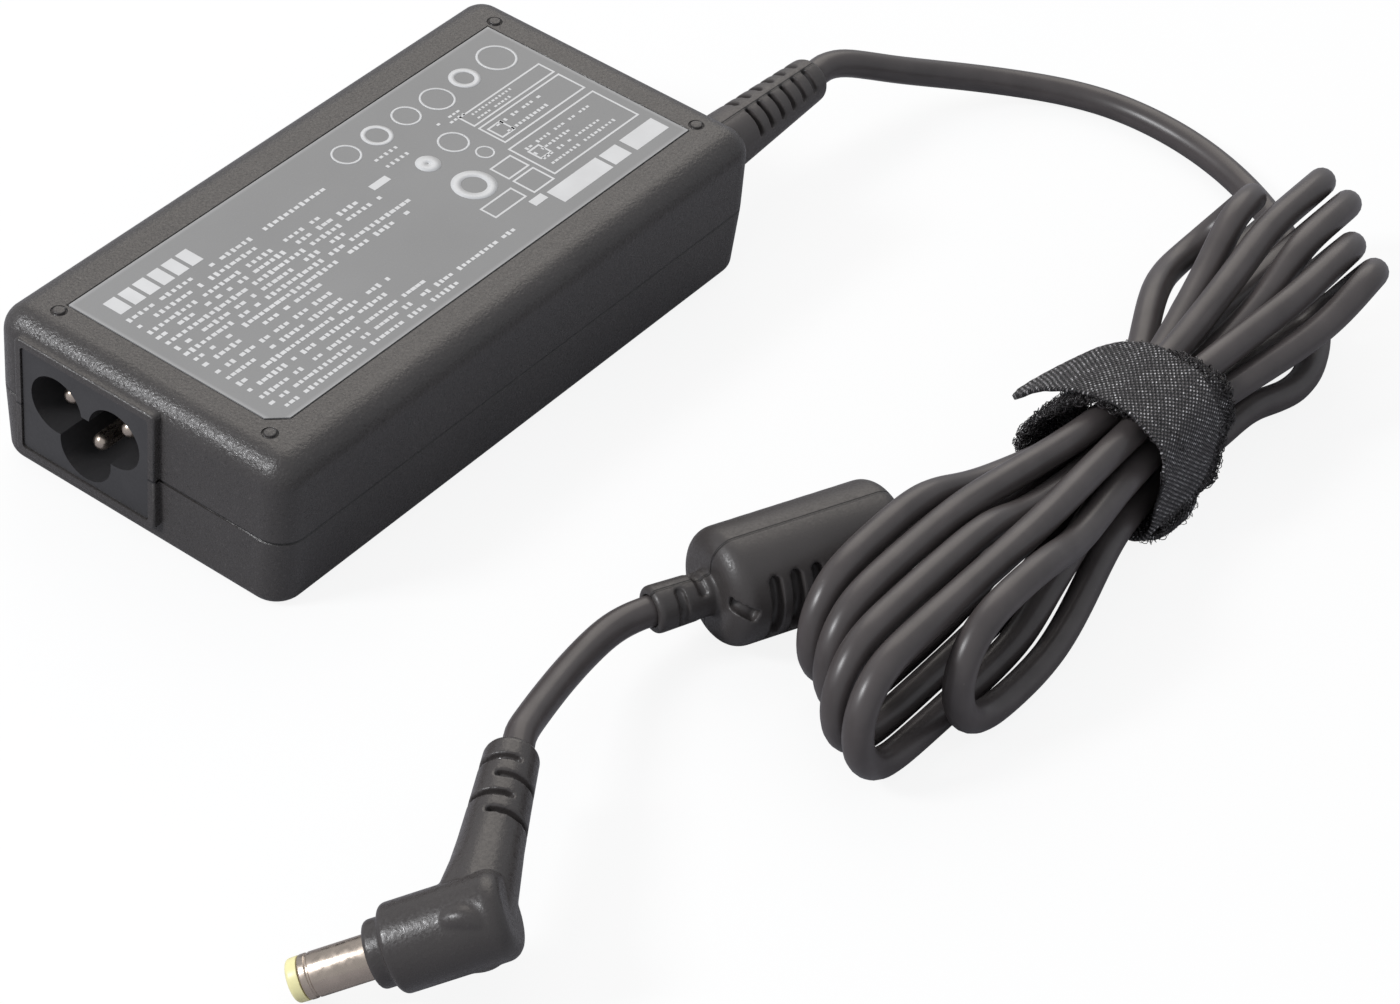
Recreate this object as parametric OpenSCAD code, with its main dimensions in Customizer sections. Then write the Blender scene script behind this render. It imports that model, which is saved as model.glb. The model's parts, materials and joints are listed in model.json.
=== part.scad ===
// Laptop power adapter: a two-shell case with a three-pin inlet, its switching
// supply inside, and a captive low-voltage lead that ends in an elbow barrel plug.
// The lead is folded into a hank, held by a hook-and-loop strap.
// Frame: +X runs from the inlet to the output lead, +Z is up, and the origin lies
// under the middle of the case, on the surface that it stands on.

/* [Case] */
// Length of the case
case_l = 100; // [94:1:120]
// Width of the case at the seam
case_w = 50.6; // [48:0.2:60]
// Height of the case
case_h = 24; // [23.6:0.2:30]
// Height of the seam between the covers
seam_z = 11.4; // [10.6:0.2:12.4]
// Wall thickness of the covers
wall = 2; // [1.8:0.1:2.2]
// Radius of the upright corners
corner_r = 4.2; // [3:0.2:6]
// Radius of the edge round the top face
top_r = 4.2; // [1.8:0.2:4.4]
// Chamfer round the bottom face
foot_chamfer = 0.8; // [0.3:0.1:1]
// How far the lower half of the case draws in towards its base
side_draft = 0.7; // [0.2:0.1:0.8]
// Width of the shadow line at the seam
seam_gap = 0.35; // [0.2:0.05:0.6]
// Depth of the shadow line at the seam
seam_depth = 0.4; // [0.2:0.05:0.6]

/* [Top face] */
// Length of the rating label
label_l = 85.8; // [60:0.2:86]
// Width of the rating label
label_w = 35.8; // [20:0.2:36]
// Thickness of the rating label
label_t = 0.2; // [0.1:0.05:0.3]
// Corner cut off the label at the inlet end
label_cut = 2.3; // [1:0.1:4]
// Distance from the case end to a corner stud
stud_end = 5.4; // [5.2:0.1:5.8]
// Distance from the case side to a corner stud
stud_side = 7.3; // [5:0.1:7.6]
// Radius of a corner stud
stud_r = 0.8; // [0.5:0.05:1]

/* [Mains inlet] */
// Place of the inlet across the case
inlet_y = 8; // [6:0.5:9]
// Width of the raised frame round the inlet
frame_w = 24.5; // [24:0.1:26]
// Height of the raised frame round the inlet
frame_h = 19.3; // [18.8:0.1:19.8]
// Height of the lowest edge of the raised frame
frame_z = 3; // [2.6:0.1:3.4]
// How far the raised frame stands out of the end face
frame_out = 1; // [0.4:0.1:2]
// Width of the frame's border
frame_border = 1.2; // [1:0.1:1.4]
// How far the inlet's face lies behind the frame
face_set = 0.4; // [0.1:0.1:0.8]
// Radius of the three lobes of the socket
lobe_r = 4.4; // [4.2:0.05:4.5]
// Distance between the line and neutral pins
pin_pitch = 10; // [9.8:0.1:10.2]
// Drop from the line and neutral pins to the earth pin
pin_drop = 5; // [4.8:0.1:5.2]
// Radius of an inlet pin
pin_r = 1.2; // [1:0.05:1.3]
// Depth of the socket
socket_depth = 12.6; // [11:0.2:14]
// How far the pin tips lie inside the socket's mouth
pin_set = 2; // [1:0.1:4]

/* [Board] */
// Gap from the case floor to the underside of the board
board_lift = 3; // [2.8:0.1:3.4]
// Thickness of the circuit board
board_t = 1.6; // [1.2:0.1:1.8]
// Gap between the board's edge and the walls
board_gap = 0.4; // [0.3:0.05:0.6]
// Thickness of the heat spreaders
spreader_t = 0.5; // [0.3:0.05:0.6]
// Thickness of the insulating sheets
film_t = 0.3; // [0.2:0.05:0.4]
// Height of the heat sinks above the board
sink_h = 13.6; // [12.6:0.1:13.6]
// Thickness of the heat sinks
sink_t = 2; // [1.5:0.1:2.2]
// Radius of the posts under the board
post_r = 2; // [1.8:0.1:2.2]
// Radius of the pegs that locate the board
peg_r = 0.9; // [0.7:0.05:1]

/* [Output lead] */
// Diameter of the output lead
cord_d = 4.1; // [3.8:0.1:4.2]
// Place of the strain relief across the case
boot_y = -15; // [-16:0.5:-14]
// Height of the strain relief's axis
boot_z = 13; // [12:0.5:13.5]
// Length of the strain relief outside the case
boot_l = 28; // [24:1:30]
// Radius of the strain relief at the case
boot_r = 4.8; // [4.4:0.1:5.2]
// Radius of the strain relief at its tip
boot_tip_r = 3.3; // [3:0.1:3.6]
// Number of slots along each side of the strain relief
boot_slots = 6; // [3:1:6]
// Spacing of the slots
boot_slot_pitch = 2.8; // [2:0.1:3]

/* [Hank] */
// Number of whole loops in the hank
hank_loops = 5; // [3:1:5]
// Radius of the folds at the hank's ends
fold_r = 8.2; // [7.6:0.1:8.4]
// Distance between neighbouring runs, centre to centre
run_pitch = 4.7; // [4.7:0.05:4.8]
// Clearance between the lower runs and the surface, where nothing lies under them
rest_gap = 0.05; // [0.05:0.05:0.2]

/* [Strap] */
// Width of the strap along the hank
strap_w = 15; // [12:1:16]
// Thickness of the strap
strap_t = 1.5; // [1:0.1:1.6]
// Gap between the strap and the runs that it holds
strap_gap = 0.4; // [0.3:0.05:0.6]
// How far the strap's free tail reaches past the middle of the hank
tail_l = 12; // [9:0.5:13]
// How far the strap's inner end shows beyond the band, on the surface
flap_l = 4; // [2:0.5:6]

/* [Ferrite] */
// Length of the ferrite's jacket
ferrite_l = 27; // [24:0.5:32]
// Radius of the ferrite's jacket
ferrite_r = 8; // [7.6:0.1:8.2]
// Radius of the jacket's rounded ends
ferrite_round = 2.6; // [1:0.1:3]
// Radius of the ferrite core
core_r = 5.8; // [5:0.1:6]
// Length of the ferrite core
core_l = 20; // [16:0.5:21]
// Number of ribs' slots along the jacket
ferrite_slots = 6; // [3:1:6]
// Spacing of the jacket's slots
ferrite_slot_pitch = 3.1; // [2.6:0.1:3.2]
// Length of the short sleeve at each end of the jacket
sleeve_l = 8.6; // [7.8:0.2:9]
// Radius of the short sleeves
sleeve_r = 2.9; // [2.8:0.05:3.2]

/* [Plug] */
// Radius of the plug's body
plug_r = 5.5; // [5:0.1:6]
// Length from the elbow to the front of the plug's body
plug_l = 10.6; // [9:0.2:12]
// Radius of the collar in front of the body
collar_r = 4.2; // [3.6:0.05:4.4]
// Length of the collar
collar_l = 2.4; // [2:0.1:3]
// Outer radius of the barrel
barrel_r = 2.75; // [2.4:0.05:2.8]
// Length of the barrel in front of the collar
barrel_l = 10.2; // [9.5:0.1:12]
// Radius of the barrel's bore
bore_r = 0.85; // [0.8:0.05:1]
// Length of the insulating ring at the barrel's tip
tip_l = 1.5; // [1:0.1:2]
// Length of the neck behind the elbow
neck_l = 28; // [26:0.5:32]
// Radius of the neck at its end
neck_r = 3.4; // [3.2:0.1:3.8]

/* [Hidden] */
$fn = 48;

// Overlap of a cutting shape past the face that it cuts
eps = 0.5;
// Clearance of a part that is moulded round, pressed on or slid over another
fit = 0.1;

// Faces of the case
end_x = case_l / 2;
side_y = case_w / 2;
in_x = end_x - wall;
in_y = side_y - wall;
ceiling_z = case_h - wall;
lip_w = 0.8;
lip_h = 1.2;

// Top face
recess_t = label_t + 0.1;
recess_gap = 0.25;

// Inlet
face_x = -end_x - frame_out + face_set;
socket_floor_x = face_x + socket_depth;
housing_back_x = socket_floor_x + 4;
frame_mid_z = frame_z + frame_h / 2;
open_w = frame_w - 2 * frame_border;
open_h = frame_h - 2 * frame_border;
housing_gap = 0.15;
flange_t = 1.4;
flange_over = 1.1;
flange_h = 2 * (ceiling_z - frame_mid_z - 0.1);
earth_z = frame_mid_z - 3.3;
live_z = earth_z + pin_drop;
pin_tail = 2;
lead_r = 0.6;
lead_reach = 3;

// Board
board_z = wall + board_lift;
deck_z = board_z + board_t;
board_x0 = housing_back_x + pin_tail + 1;
board_x1 = in_x - board_gap;
board_y = in_y - board_gap;
wing_x0 = -in_x + board_gap;
board_corner_r = 2;
wing_y1 = inlet_y - frame_w / 2 - board_gap;
film_top_z = ceiling_z - spreader_t;
film_bottom_z = film_top_z - film_t;
sheet_x0 = board_x0 + 1;
sheet_x1 = board_x1 - 1;
sheet_y = board_y - 1;
peg_h = 0.6;
peg_gap = 0.2;
post_places = [
    [board_x0 + 4.5, board_y - 2.6],
    [board_x1 - 14.5, board_y - 2.6],
    [board_x0 + 4.5, -board_y + 2.6],
    [board_x1 - 9, -board_y + 2.2]
];
wing_post = [wing_x0 + 3, wing_y1 - 9];
leg_r = 0.4;

// Groups of components, set out from the board's edges
mains_x = wing_x0 + 1;
choke_at = [board_x0 + 15.5, -board_y + 9];
choke_ring_r = 6;
choke_ring_w = 3;
choke_h = 7;
winding_t = 1;
bridge_x = board_x0 + 9;
bulk_r = 6.9;
bulk_l = 27;
bulk_x = board_x0 + 16;
bulk_y = board_y - bulk_r - 1.4;
sink_x = board_x0 + 20;
sink_l = 24;
sink_y = bulk_y - bulk_r - 3.5;
switch_x = sink_x + 6;
package_w = 10;
package_t = 4.4;
package_h = 10;
transformer_x = board_x1 - 32.5;
transformer_y = -12.5;
core_w = 20;
core_d = 22;
core_h = 9;
core_leg = 3.5;
core_mid = 6;
core_yoke = 4;
rail_h = 2.9;
rail_w = 2;
bobbin_t = 0.7;
wound_t = 1.8;
winding_gap = 0.3;
output_sink_x = board_x1 - 9.2;
output_sink_y0 = -7;
output_sink_l = 19;
can_r = 4.7;
can_h = 13.4;

// Strain relief
boot_x = end_x + boot_l;
boot_flange_t = 1.8;
boot_flange_r = 6;
boot_end_round = 1.3;
slot_w = 0.8;
slot_deep = 2.75;
tail_x = in_x - boot_flange_t - 1.5;
core_gap = 1.4;

// Lead
cord_r = cord_d / 2;
cord_z = cord_r + rest_gap;
free_sides = 10;
wound_sides = 6;
ring_step = 2.2 * cord_d;

// Hank: its waist, its ends and how the loops spread between them
waist_x = 45;
waist_y = -91.8;
right_tips = [91, 94, 102, 104, 94];
left_tips = [-13, -28, -26, -21, -18];
right_y = 4.9;
left_y = -1.7;
right_lean = -8.2;
left_lean = 2;
right_pitch = 5.4;
left_pitch = run_pitch;
waist_half = 9;
spread_l = 30;
run_places = [-38, -28.5, -9, 9, 28.5, 38];
fold_rings = 6;
strap_lift = strap_t + strap_gap;
strap_x = waist_x - 1;
tail_t = 1;
tail_drop = 4.2;
tail_skew = 3;
tail_over = 6;
flap_t = 0.75;
cross_lift = cord_d + 0.45;

// Under the strap the runs lie in four layers, each in the grooves of the last
waist_step = run_pitch / 2;
layer_h = waist_step * sqrt(3);
layers = 4;
waist_rise = (layers - 1) * layer_h;
hank_start = hank_point(waist_x + 18, 0, -1, 0);
hank_end = hank_point(waist_x - 12, hank_loops, -1, hank_loops % 2);
probe_steps = 4;
probe_skip = 10;

// Route of the lead from the strain relief to the hank
boot_route = [
    [boot_x, boot_y, boot_z], [boot_x + cord_d, boot_y, boot_z],
    [86, -16.2, 12.2], [91, -19.2, 10], [97, -22.2, 7.6], [104, -26, 5],
    [110, -31, 3.2], [114.5, -37, 2.3], [117, -44, cord_z],
    [117.5, -52, cord_z], [116.5, -60, cord_z], [114, -68, cord_z],
    [110, -76, cord_z], [105, -83, cord_z], [99, -89.5, cord_z],
    [92, -95, cord_z], [84, -99, cord_z], [76, -100.2, cord_z + 0.5],
    hank_start + [cord_d, 0, 0], hank_start
];

// Ferrite and the lead on both sides of it
ferrite_at = [-4, -72.8, ferrite_r];
ferrite_turn = -23.5;
ferrite_half = ferrite_l / 2 + sleeve_l;
ferrite_dir = [cos(ferrite_turn), sin(ferrite_turn), 0];
ferrite_in = ferrite_at + ferrite_half * ferrite_dir;
ferrite_out = ferrite_at - ferrite_half * ferrite_dir;
ferrite_route = [
    hank_end, hank_end - [cord_d, 0, 0],
    ferrite_in + cord_d * ferrite_dir, ferrite_in
];

// Plug: its barrel dips until the tip rests, and its neck lies level behind it
plug_dip = 25;
plug_turn = 132;
plug_reach = plug_l + collar_l + barrel_l;
plug_z = plug_reach * sin(plug_dip) + barrel_r * cos(plug_dip) + rest_gap;
plug_at = [-83.4, -83.9, plug_z];
neck_turn = 29.5;
neck_dir = [cos(neck_turn), sin(neck_turn), 0];
neck_end = plug_at + neck_l * neck_dir;
plug_route = [
    ferrite_out, ferrite_out - cord_d * ferrite_dir,
    [-35.1, -62.7, 8.2], [-42.6, -64.3, 9.6], [-49.6, -66.3, 11.2],
    neck_end + cord_d * neck_dir, neck_end
];
sleeve_wall = 0.45;
sleeve_step = 0.25;
contact_wall = 0.45;
barrel_in = 4;

function smooth(t) = let (c = min(max(t, 0), 1)) c * c * (3 - 2 * c);
function blend(a, b, t) = a + (b - a) * t;
function unit(v) = v / norm(v);

// How far, from 0 at the waist to 1 at the ends, the hank has opened at x
function opened(x) = smooth((abs(x - waist_x) - waist_half) / spread_l);

// Of two values, the one for the side of the waist that x is on
function sided(x, left, right) = x > waist_x ? right : left;

// Height of the lower runs at x: over the strap, and over the lead that crosses
function low_z(x) = cord_z + blend(strap_lift, sided(x, 0, cross_lift), opened(x));

// Height of the upper runs over the lower ones, and their shift across, at x
function lean(x) = sided(x, left_lean, right_lean) * opened(x);
function rise(x) = blend(
    waist_rise, sqrt(pow(2 * fold_r, 2) - pow(sided(x, left_lean, right_lean), 2)), opened(x)
);

// A point of the hank: x, the lane that it is in, its height from -1 below to 1
// above, and 1 for a run that nests in the inner layers at the waist
function hank_point(x, lane, side, nest) = [
    x,
    waist_y + sided(x, left_y, right_y) * opened(x)
        + (lane - hank_loops / 2) * blend(waist_step, sided(x, left_pitch, right_pitch), opened(x))
        + lean(x) * (side + 1) / 2,
    low_z(x) + rise(x) * (side + 1) / 2
        - side * nest * layer_h * (1 - pow(opened(x), 4))
];

// A run climbs on the way into each fold, by three quarters of a lane in all
function climb(x) = opened(x) * (x > waist_x ? 1 : -1);

function low_run(i, places) = [
    for (d = places) hank_point(waist_x - d, i - 0.25 * climb(waist_x - d), -1, i % 2)
];
function high_run(i) = [
    for (d = run_places)
        let (x = waist_x + d)
            hank_point(x, i + (x > waist_x ? 0.75 : 0.25) * opened(x), 1, 1 - i % 2)
];
function left_fold(i) = [
    for (k = [0 : fold_rings - 1])
        let (a = 180 * k / (fold_rings - 1) - 90)
            hank_point(left_tips[i] + fold_r, i + 0.25, sin(a), 0) - [fold_r * cos(a), 0, 0]
];
function right_fold(i) = [
    for (k = [0 : fold_rings - 1])
        let (a = 90 - 180 * k / (fold_rings - 1))
            hank_point(right_tips[i] - fold_r, i + 0.75, sin(a), 0) + [fold_r * cos(a), 0, 0]
];
hank_route = [
    hank_start,
    hank_start - [cord_d, 0, 0],
    each low_run(0, [for (d = run_places) if (d > -10) d]),
    for (i = [0 : hank_loops - 1])
        each concat(
            left_fold(i), high_run(i), right_fold(i),
            i < hank_loops - 1
                ? low_run(i + 1, run_places)
                : low_run(i + 1, [for (d = run_places) if (d < 0) d])
        ),
    hank_end + [cord_d, 0, 0],
    hank_end
];

// Smooth curve through a list of points, with rings about step apart
function spline_point(a, b, c, d, t) = 0.5 * (
    2 * b + (c - a) * t + (2 * a - 5 * b + 4 * c - d) * t * t
    + (3 * b - a - 3 * c + d) * t * t * t
);
function spline(p, step) = [
    for (i = [0 : len(p) - 2])
        let (
            a = p[max(i - 1, 0)], d = p[min(i + 2, len(p) - 1)],
            n = max(1, round(norm(p[i + 1] - p[i]) / step))
        )
            for (k = [0 : n - 1]) spline_point(a, p[i], p[i + 1], d, k / n),
    p[len(p) - 1]
];

// A round tube along points; up is any direction that the route never takes
module tube(points, r, sides, up) {
    n = len(points);
    dirs = [
        for (i = [0 : n - 1])
            unit(points[min(i + 1, n - 1)] - points[max(i - 1, 0)])
    ];
    rings = [
        for (i = [0 : n - 1])
            let (u = unit(cross(up, dirs[i])), v = cross(dirs[i], u))
                for (k = [0 : sides - 1])
                    let (a = 360 * (k + 0.5) / sides)
                        points[i] + r * (cos(a) * u + sin(a) * v)
    ];
    walls = [
        for (i = [0 : n - 2], k = [0 : sides - 1])
            let (a = i * sides + k, b = i * sides + (k + 1) % sides)
                each [[a, b, b + sides], [a, b + sides, a + sides]]
    ];
    first_cap = [for (k = [1 : sides - 2]) [0, k + 1, k]];
    last = (n - 1) * sides;
    last_cap = [for (k = [1 : sides - 2]) [last, last + k, last + k + 1]];
    polyhedron(rings, concat(walls, first_cap, last_cap));
}

// Least distance between the surfaces of runs that don't follow each other
function least_gap(points, d) =
    let (
        fine = [
            for (i = [0 : len(points) - 2], k = [0 : probe_steps - 1])
                blend(points[i], points[i + 1], k / probe_steps)
        ],
        n = len(fine)
    )
        min([
            for (i = [0 : n - 1], j = [i + probe_skip : 1 : n - 1])
                norm(fine[i] - fine[j])
        ]) - d;

// A rectangle with round corners, centred
module rounded(w, h, r) {
    square([w - 2 * r, h], center = true);
    square([w, h - 2 * r], center = true);
    for (x = [-1, 1], y = [-1, 1])
        translate([x * (w / 2 - r), y * (h / 2 - r)]) circle(r);
}

// A block on the board: its low corner and its size
module block(at, size) {
    translate(at) cube(size);
}

// An upright cylinder standing on the board
module can(at, r, h) {
    translate([at[0], at[1], deck_z]) cylinder(r = r, h = h);
}

// A disc that stands on edge, on two legs
module leaded_disc(at, r, t, turn) {
    translate([at[0], at[1], deck_z]) rotate(turn) {
        translate([0, t / 2, r + 1]) rotate([90, 0, 0]) cylinder(r = r, h = t);
        for (x = [-1, 1])
            translate([x * r / 2, 0, 0]) cylinder(r = leg_r, h = 2.5);
    }
}

// Outline across the case, or along it: drawn in below, round at the top
module case_outline(w, draft) {
    foot = w / 2 - draft;
    polygon([
        [-foot + foot_chamfer, 0], [foot - foot_chamfer, 0], [foot, foot_chamfer],
        [w / 2, seam_z], [-w / 2, seam_z], [-foot, foot_chamfer]
    ]);
    translate([-w / 2, seam_z - eps]) square([w, case_h - top_r - seam_z + eps]);
    translate([-w / 2 + top_r, seam_z]) square([w - 2 * top_r, case_h - seam_z]);
    for (x = [-1, 1])
        translate([x * (w / 2 - top_r), case_h - top_r]) circle(top_r);
}

module case_solid() {
    intersection() {
        linear_extrude(case_h) rounded(case_l, case_w, corner_r);
        rotate([90, 0, 90])
            translate([0, 0, -end_x]) linear_extrude(case_l) case_outline(case_w, side_draft);
        rotate([90, 0, 0])
            translate([0, 0, -side_y]) linear_extrude(case_w) case_outline(case_l, 0.2);
    }
}

// Upright wall band between two insets from the case's outline
module band(outer, inner, z0, z1) {
    translate([0, 0, z0]) linear_extrude(z1 - z0) difference() {
        rounded(case_l - 2 * outer, case_w - 2 * outer, max(corner_r - outer, 0.5));
        rounded(case_l - 2 * inner, case_w - 2 * inner, max(corner_r - inner, 0.5));
    }
}

module case_room(z0, z1) {
    translate([0, 0, z0]) linear_extrude(z1 - z0)
        rounded(2 * in_x, 2 * in_y, max(corner_r - wall, 0.5));
}

// A shape drawn across the case's end, from x0 to x1
module across(x0, x1) {
    translate([x0, 0, 0]) rotate([90, 0, 90]) linear_extrude(x1 - x0) children();
}

module inlet_frame() {
    across(-end_x - frame_out, -in_x)
        translate([inlet_y, frame_mid_z]) rounded(frame_w, frame_h, 0.8);
}

module inlet_opening() {
    across(-end_x - frame_out - eps, -in_x + eps)
        translate([inlet_y, frame_mid_z]) rounded(open_w, open_h, 0.6);
}

module boot_opening() {
    across(in_x - eps, end_x + eps)
        translate([boot_y, boot_z]) circle(boot_r + fit / 2);
}

module half_space(z0, z1) {
    translate([-case_l, -case_w, z0]) cube([2 * case_l, 2 * case_w, z1 - z0]);
}

module stud_places() {
    for (x = [-1, 1], y = [-1, 1])
        translate([x * (end_x - stud_end), y * (side_y - stud_side), case_h]) children();
}

module label_outline(grow) {
    x = label_l / 2 + grow;
    y = label_w / 2 + grow;
    polygon([[-x + label_cut, -y], [x, -y], [x, y], [-x, y], [-x, -y + label_cut]]);
}

module top_cover() {
    color([0.16, 0.15, 0.15]) {
        difference() {
            intersection() {
                union() {
                    case_solid();
                    inlet_frame();
                }
                half_space(seam_z, case_h + eps);
            }
            case_room(seam_z - eps, ceiling_z);
            band(wall - lip_w - fit, wall + eps, seam_z - eps, seam_z + lip_h + fit);
            inlet_opening();
            boot_opening();
            translate([0, 0, case_h - recess_t])
                linear_extrude(recess_t + eps) label_outline(recess_gap);
            stud_places()
                rotate_extrude() translate([stud_r, -0.3]) square([0.35, 0.3 + eps]);
        }
        stud_places()
            translate([0, 0, -0.3]) intersection() {
                translate([0, 0, -1]) sphere(r = 1.45);
                cylinder(r = stud_r, h = 1);
            }
    }
}

module bottom_cover() {
    color([0.17, 0.17, 0.18]) {
        difference() {
            intersection() {
                union() {
                    case_solid();
                    inlet_frame();
                }
                half_space(-eps, seam_z);
            }
            case_room(wall, seam_z + eps);
            band(-eps, seam_depth, seam_z - seam_gap, seam_z + eps);
            inlet_opening();
            boot_opening();
        }
        difference() {
            band(wall - lip_w, wall, seam_z - eps, seam_z + lip_h);
            inlet_opening();
            boot_opening();
        }
        for (p = post_places) {
            translate([p[0], p[1], wall - eps]) cylinder(r = post_r, h = board_lift + eps);
            translate([p[0], p[1], board_z - eps])
                cylinder(r = peg_r, h = eps + board_t + peg_h);
        }
        translate([wing_post[0], wing_post[1], wall - eps])
            cylinder(r = post_r, h = board_lift + eps);
    }
}

module rating_label() {
    color([0.58, 0.57, 0.56])
        translate([0, 0, case_h - recess_t]) linear_extrude(label_t) label_outline(0);
}

module socket_outline() {
    for (y = [-1, 1])
        translate([inlet_y + y * pin_pitch / 2, live_z]) circle(lobe_r);
    translate([inlet_y, earth_z]) circle(lobe_r);
    translate([inlet_y, earth_z]) polygon([
        [0, 0], [pin_pitch / 2, pin_drop], [pin_pitch / 2, pin_drop + 0.65],
        [-pin_pitch / 2, pin_drop + 0.65], [-pin_pitch / 2, pin_drop]
    ]);
}

module pin_holes(r) {
    for (p = [[-pin_pitch / 2, live_z], [pin_pitch / 2, live_z], [0, earth_z]])
        translate([inlet_y + p[0], p[1]]) circle(r);
}

module inlet_housing() {
    color([0.1, 0.1, 0.1]) difference() {
        union() {
            across(face_x, housing_back_x)
                translate([inlet_y, frame_mid_z])
                    rounded(open_w - 2 * housing_gap, open_h - 2 * housing_gap, 0.6);
            across(-in_x, -in_x + flange_t)
                translate([inlet_y, frame_mid_z])
                    square([open_w + 2 * flange_over, flange_h], center = true);
        }
        across(face_x - eps, socket_floor_x) socket_outline();
        across(socket_floor_x - eps, housing_back_x + eps) pin_holes(pin_r + fit / 2);
    }
}

// An inlet pin, with a domed tip and a shoulder behind the housing
module inlet_pin(y, z) {
    tip_x = face_x + pin_set;
    color([0.75, 0.74, 0.7]) translate([0, y, z]) rotate([0, 90, 0]) {
        translate([0, 0, tip_x + pin_r]) {
            sphere(pin_r);
            cylinder(r = pin_r, h = housing_back_x - tip_x - pin_r + pin_tail);
        }
        translate([0, 0, housing_back_x]) cylinder(r = pin_r + 0.6, h = 1);
    }
}

module line_pin() {
    inlet_pin(inlet_y + pin_pitch / 2, live_z);
}

module neutral_pin() {
    inlet_pin(inlet_y - pin_pitch / 2, live_z);
}

module earth_pin() {
    inlet_pin(inlet_y, earth_z);
}

// A wire that runs along x and turns down to the board
module bent_lead(x, y, z, reach, r) {
    way = reach > 0 ? 90 : -90;
    translate([x, y, z]) rotate([0, way, 0]) cylinder(r = r, h = abs(reach));
    translate([x + reach, y, z]) sphere(r);
    translate([x + reach, y, deck_z]) cylinder(r = r, h = z - deck_z);
}

module inlet_leads() {
    x = housing_back_x + pin_tail;
    color([0.25, 0.25, 0.3]) {
        for (y = [-1, 1])
            bent_lead(x, inlet_y + y * pin_pitch / 2, live_z, lead_reach, lead_r);
        bent_lead(x, inlet_y, earth_z, lead_reach, lead_r);
    }
}

module circuit_board() {
    color([0.55, 0.45, 0.2]) difference() {
        translate([0, 0, board_z]) linear_extrude(board_t) {
            translate([(board_x0 + board_x1) / 2, 0])
                rounded(board_x1 - board_x0, 2 * board_y, board_corner_r);
            translate([(wing_x0 + board_x0 + 8) / 2, (wing_y1 - board_y) / 2])
                rounded(board_x0 + 8 - wing_x0, wing_y1 + board_y, board_corner_r);
        }
        for (p = post_places)
            translate([p[0], p[1], board_z - eps])
                cylinder(r = peg_r + peg_gap, h = board_t + 2 * eps);
    }
}

module input_fuse() {
    color([0.2, 0.2, 0.2]) block([mains_x, wing_y1 - 5, deck_z], [8.5, 4, 8]);
}

module surge_varistor() {
    color([0.15, 0.3, 0.6]) leaded_disc([mains_x + 15, wing_y1 - 3.5], 5, 4, 0);
}

module inrush_thermistor() {
    color([0.1, 0.25, 0.15]) leaded_disc([choke_at[0] + 12.5, -board_y + 7], 4.5, 3.5, 90);
}

module x_capacitor() {
    color([0.85, 0.7, 0.2]) block([mains_x, -board_y + 0.8, deck_z], [17, 8, 13]);
}

module choke_core() {
    color([0.25, 0.45, 0.3])
        translate([choke_at[0], choke_at[1], deck_z + winding_t + fit])
            rotate_extrude()
                translate([choke_ring_r - choke_ring_w / 2, 0]) square([choke_ring_w, choke_h]);
}

// Two windings, each a closed shell over its own side of the ring
module choke_windings() {
    side = choke_ring_w + 2 * fit;
    high = choke_h + 2 * fit;
    color([0.72, 0.4, 0.15])
        for (turn = [25, 205])
            translate([choke_at[0], choke_at[1], deck_z]) rotate(turn)
                rotate_extrude(angle = 130) difference() {
                    translate([choke_ring_r - side / 2 - winding_t, 0])
                        square([side + 2 * winding_t, high + 2 * winding_t]);
                    translate([choke_ring_r - side / 2, winding_t]) square([side, high]);
                }
}

module bridge_rectifier() {
    color([0.12, 0.12, 0.12]) {
        block([bridge_x, -4, deck_z + 1], [3.6, 15, 11]);
        for (k = [0 : 3])
            translate([bridge_x + 1.8, -2 + k * 3.7, deck_z]) cylinder(r = leg_r, h = 1.5);
    }
}

module bulk_capacitor() {
    color([0.15, 0.17, 0.3]) {
        translate([bulk_x, bulk_y, deck_z + bulk_r])
            rotate([0, 90, 0]) cylinder(r = bulk_r, h = bulk_l);
        for (y = [-2.5, 2.5])
            bent_lead(bulk_x, bulk_y + y, deck_z + bulk_r, -1.2, leg_r);
    }
}

module primary_heat_sink() {
    color([0.75, 0.76, 0.78]) block([sink_x, sink_y, deck_z], [sink_l, sink_t, sink_h]);
}

// A power package with its metal tab against a heat sink, on three legs
module power_package() {
    translate([0, 0, 2]) cube([package_w, package_t, package_h]);
    for (k = [-1 : 1])
        translate([package_w / 2 + k * 2.5, package_t / 2, 0]) cylinder(r = leg_r, h = 2.5);
}

module primary_switch() {
    color([0.13, 0.13, 0.14])
        translate([switch_x, sink_y - package_t, deck_z]) power_package();
}

// Frame of the transformer in its own place: the low corner of its core
module in_transformer() {
    translate([transformer_x, transformer_y, deck_z + rail_h]) children();
}

module transformer_core() {
    window = (core_w - 2 * core_leg - core_mid) / 2;
    color([0.2, 0.2, 0.22]) in_transformer() difference() {
        cube([core_w, core_d, core_h]);
        for (x = [core_leg, core_leg + window + core_mid])
            translate([x, core_yoke, -eps])
                cube([window, core_d - 2 * core_yoke, core_h + 2 * eps]);
    }
}

// A square tube round the core's middle leg
module leg_tube(grow, y0, y1) {
    x = core_w / 2 - core_mid / 2 - grow;
    translate([x, y0, -grow]) cube([core_mid + 2 * grow, y1 - y0, core_h + 2 * grow]);
}

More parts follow.
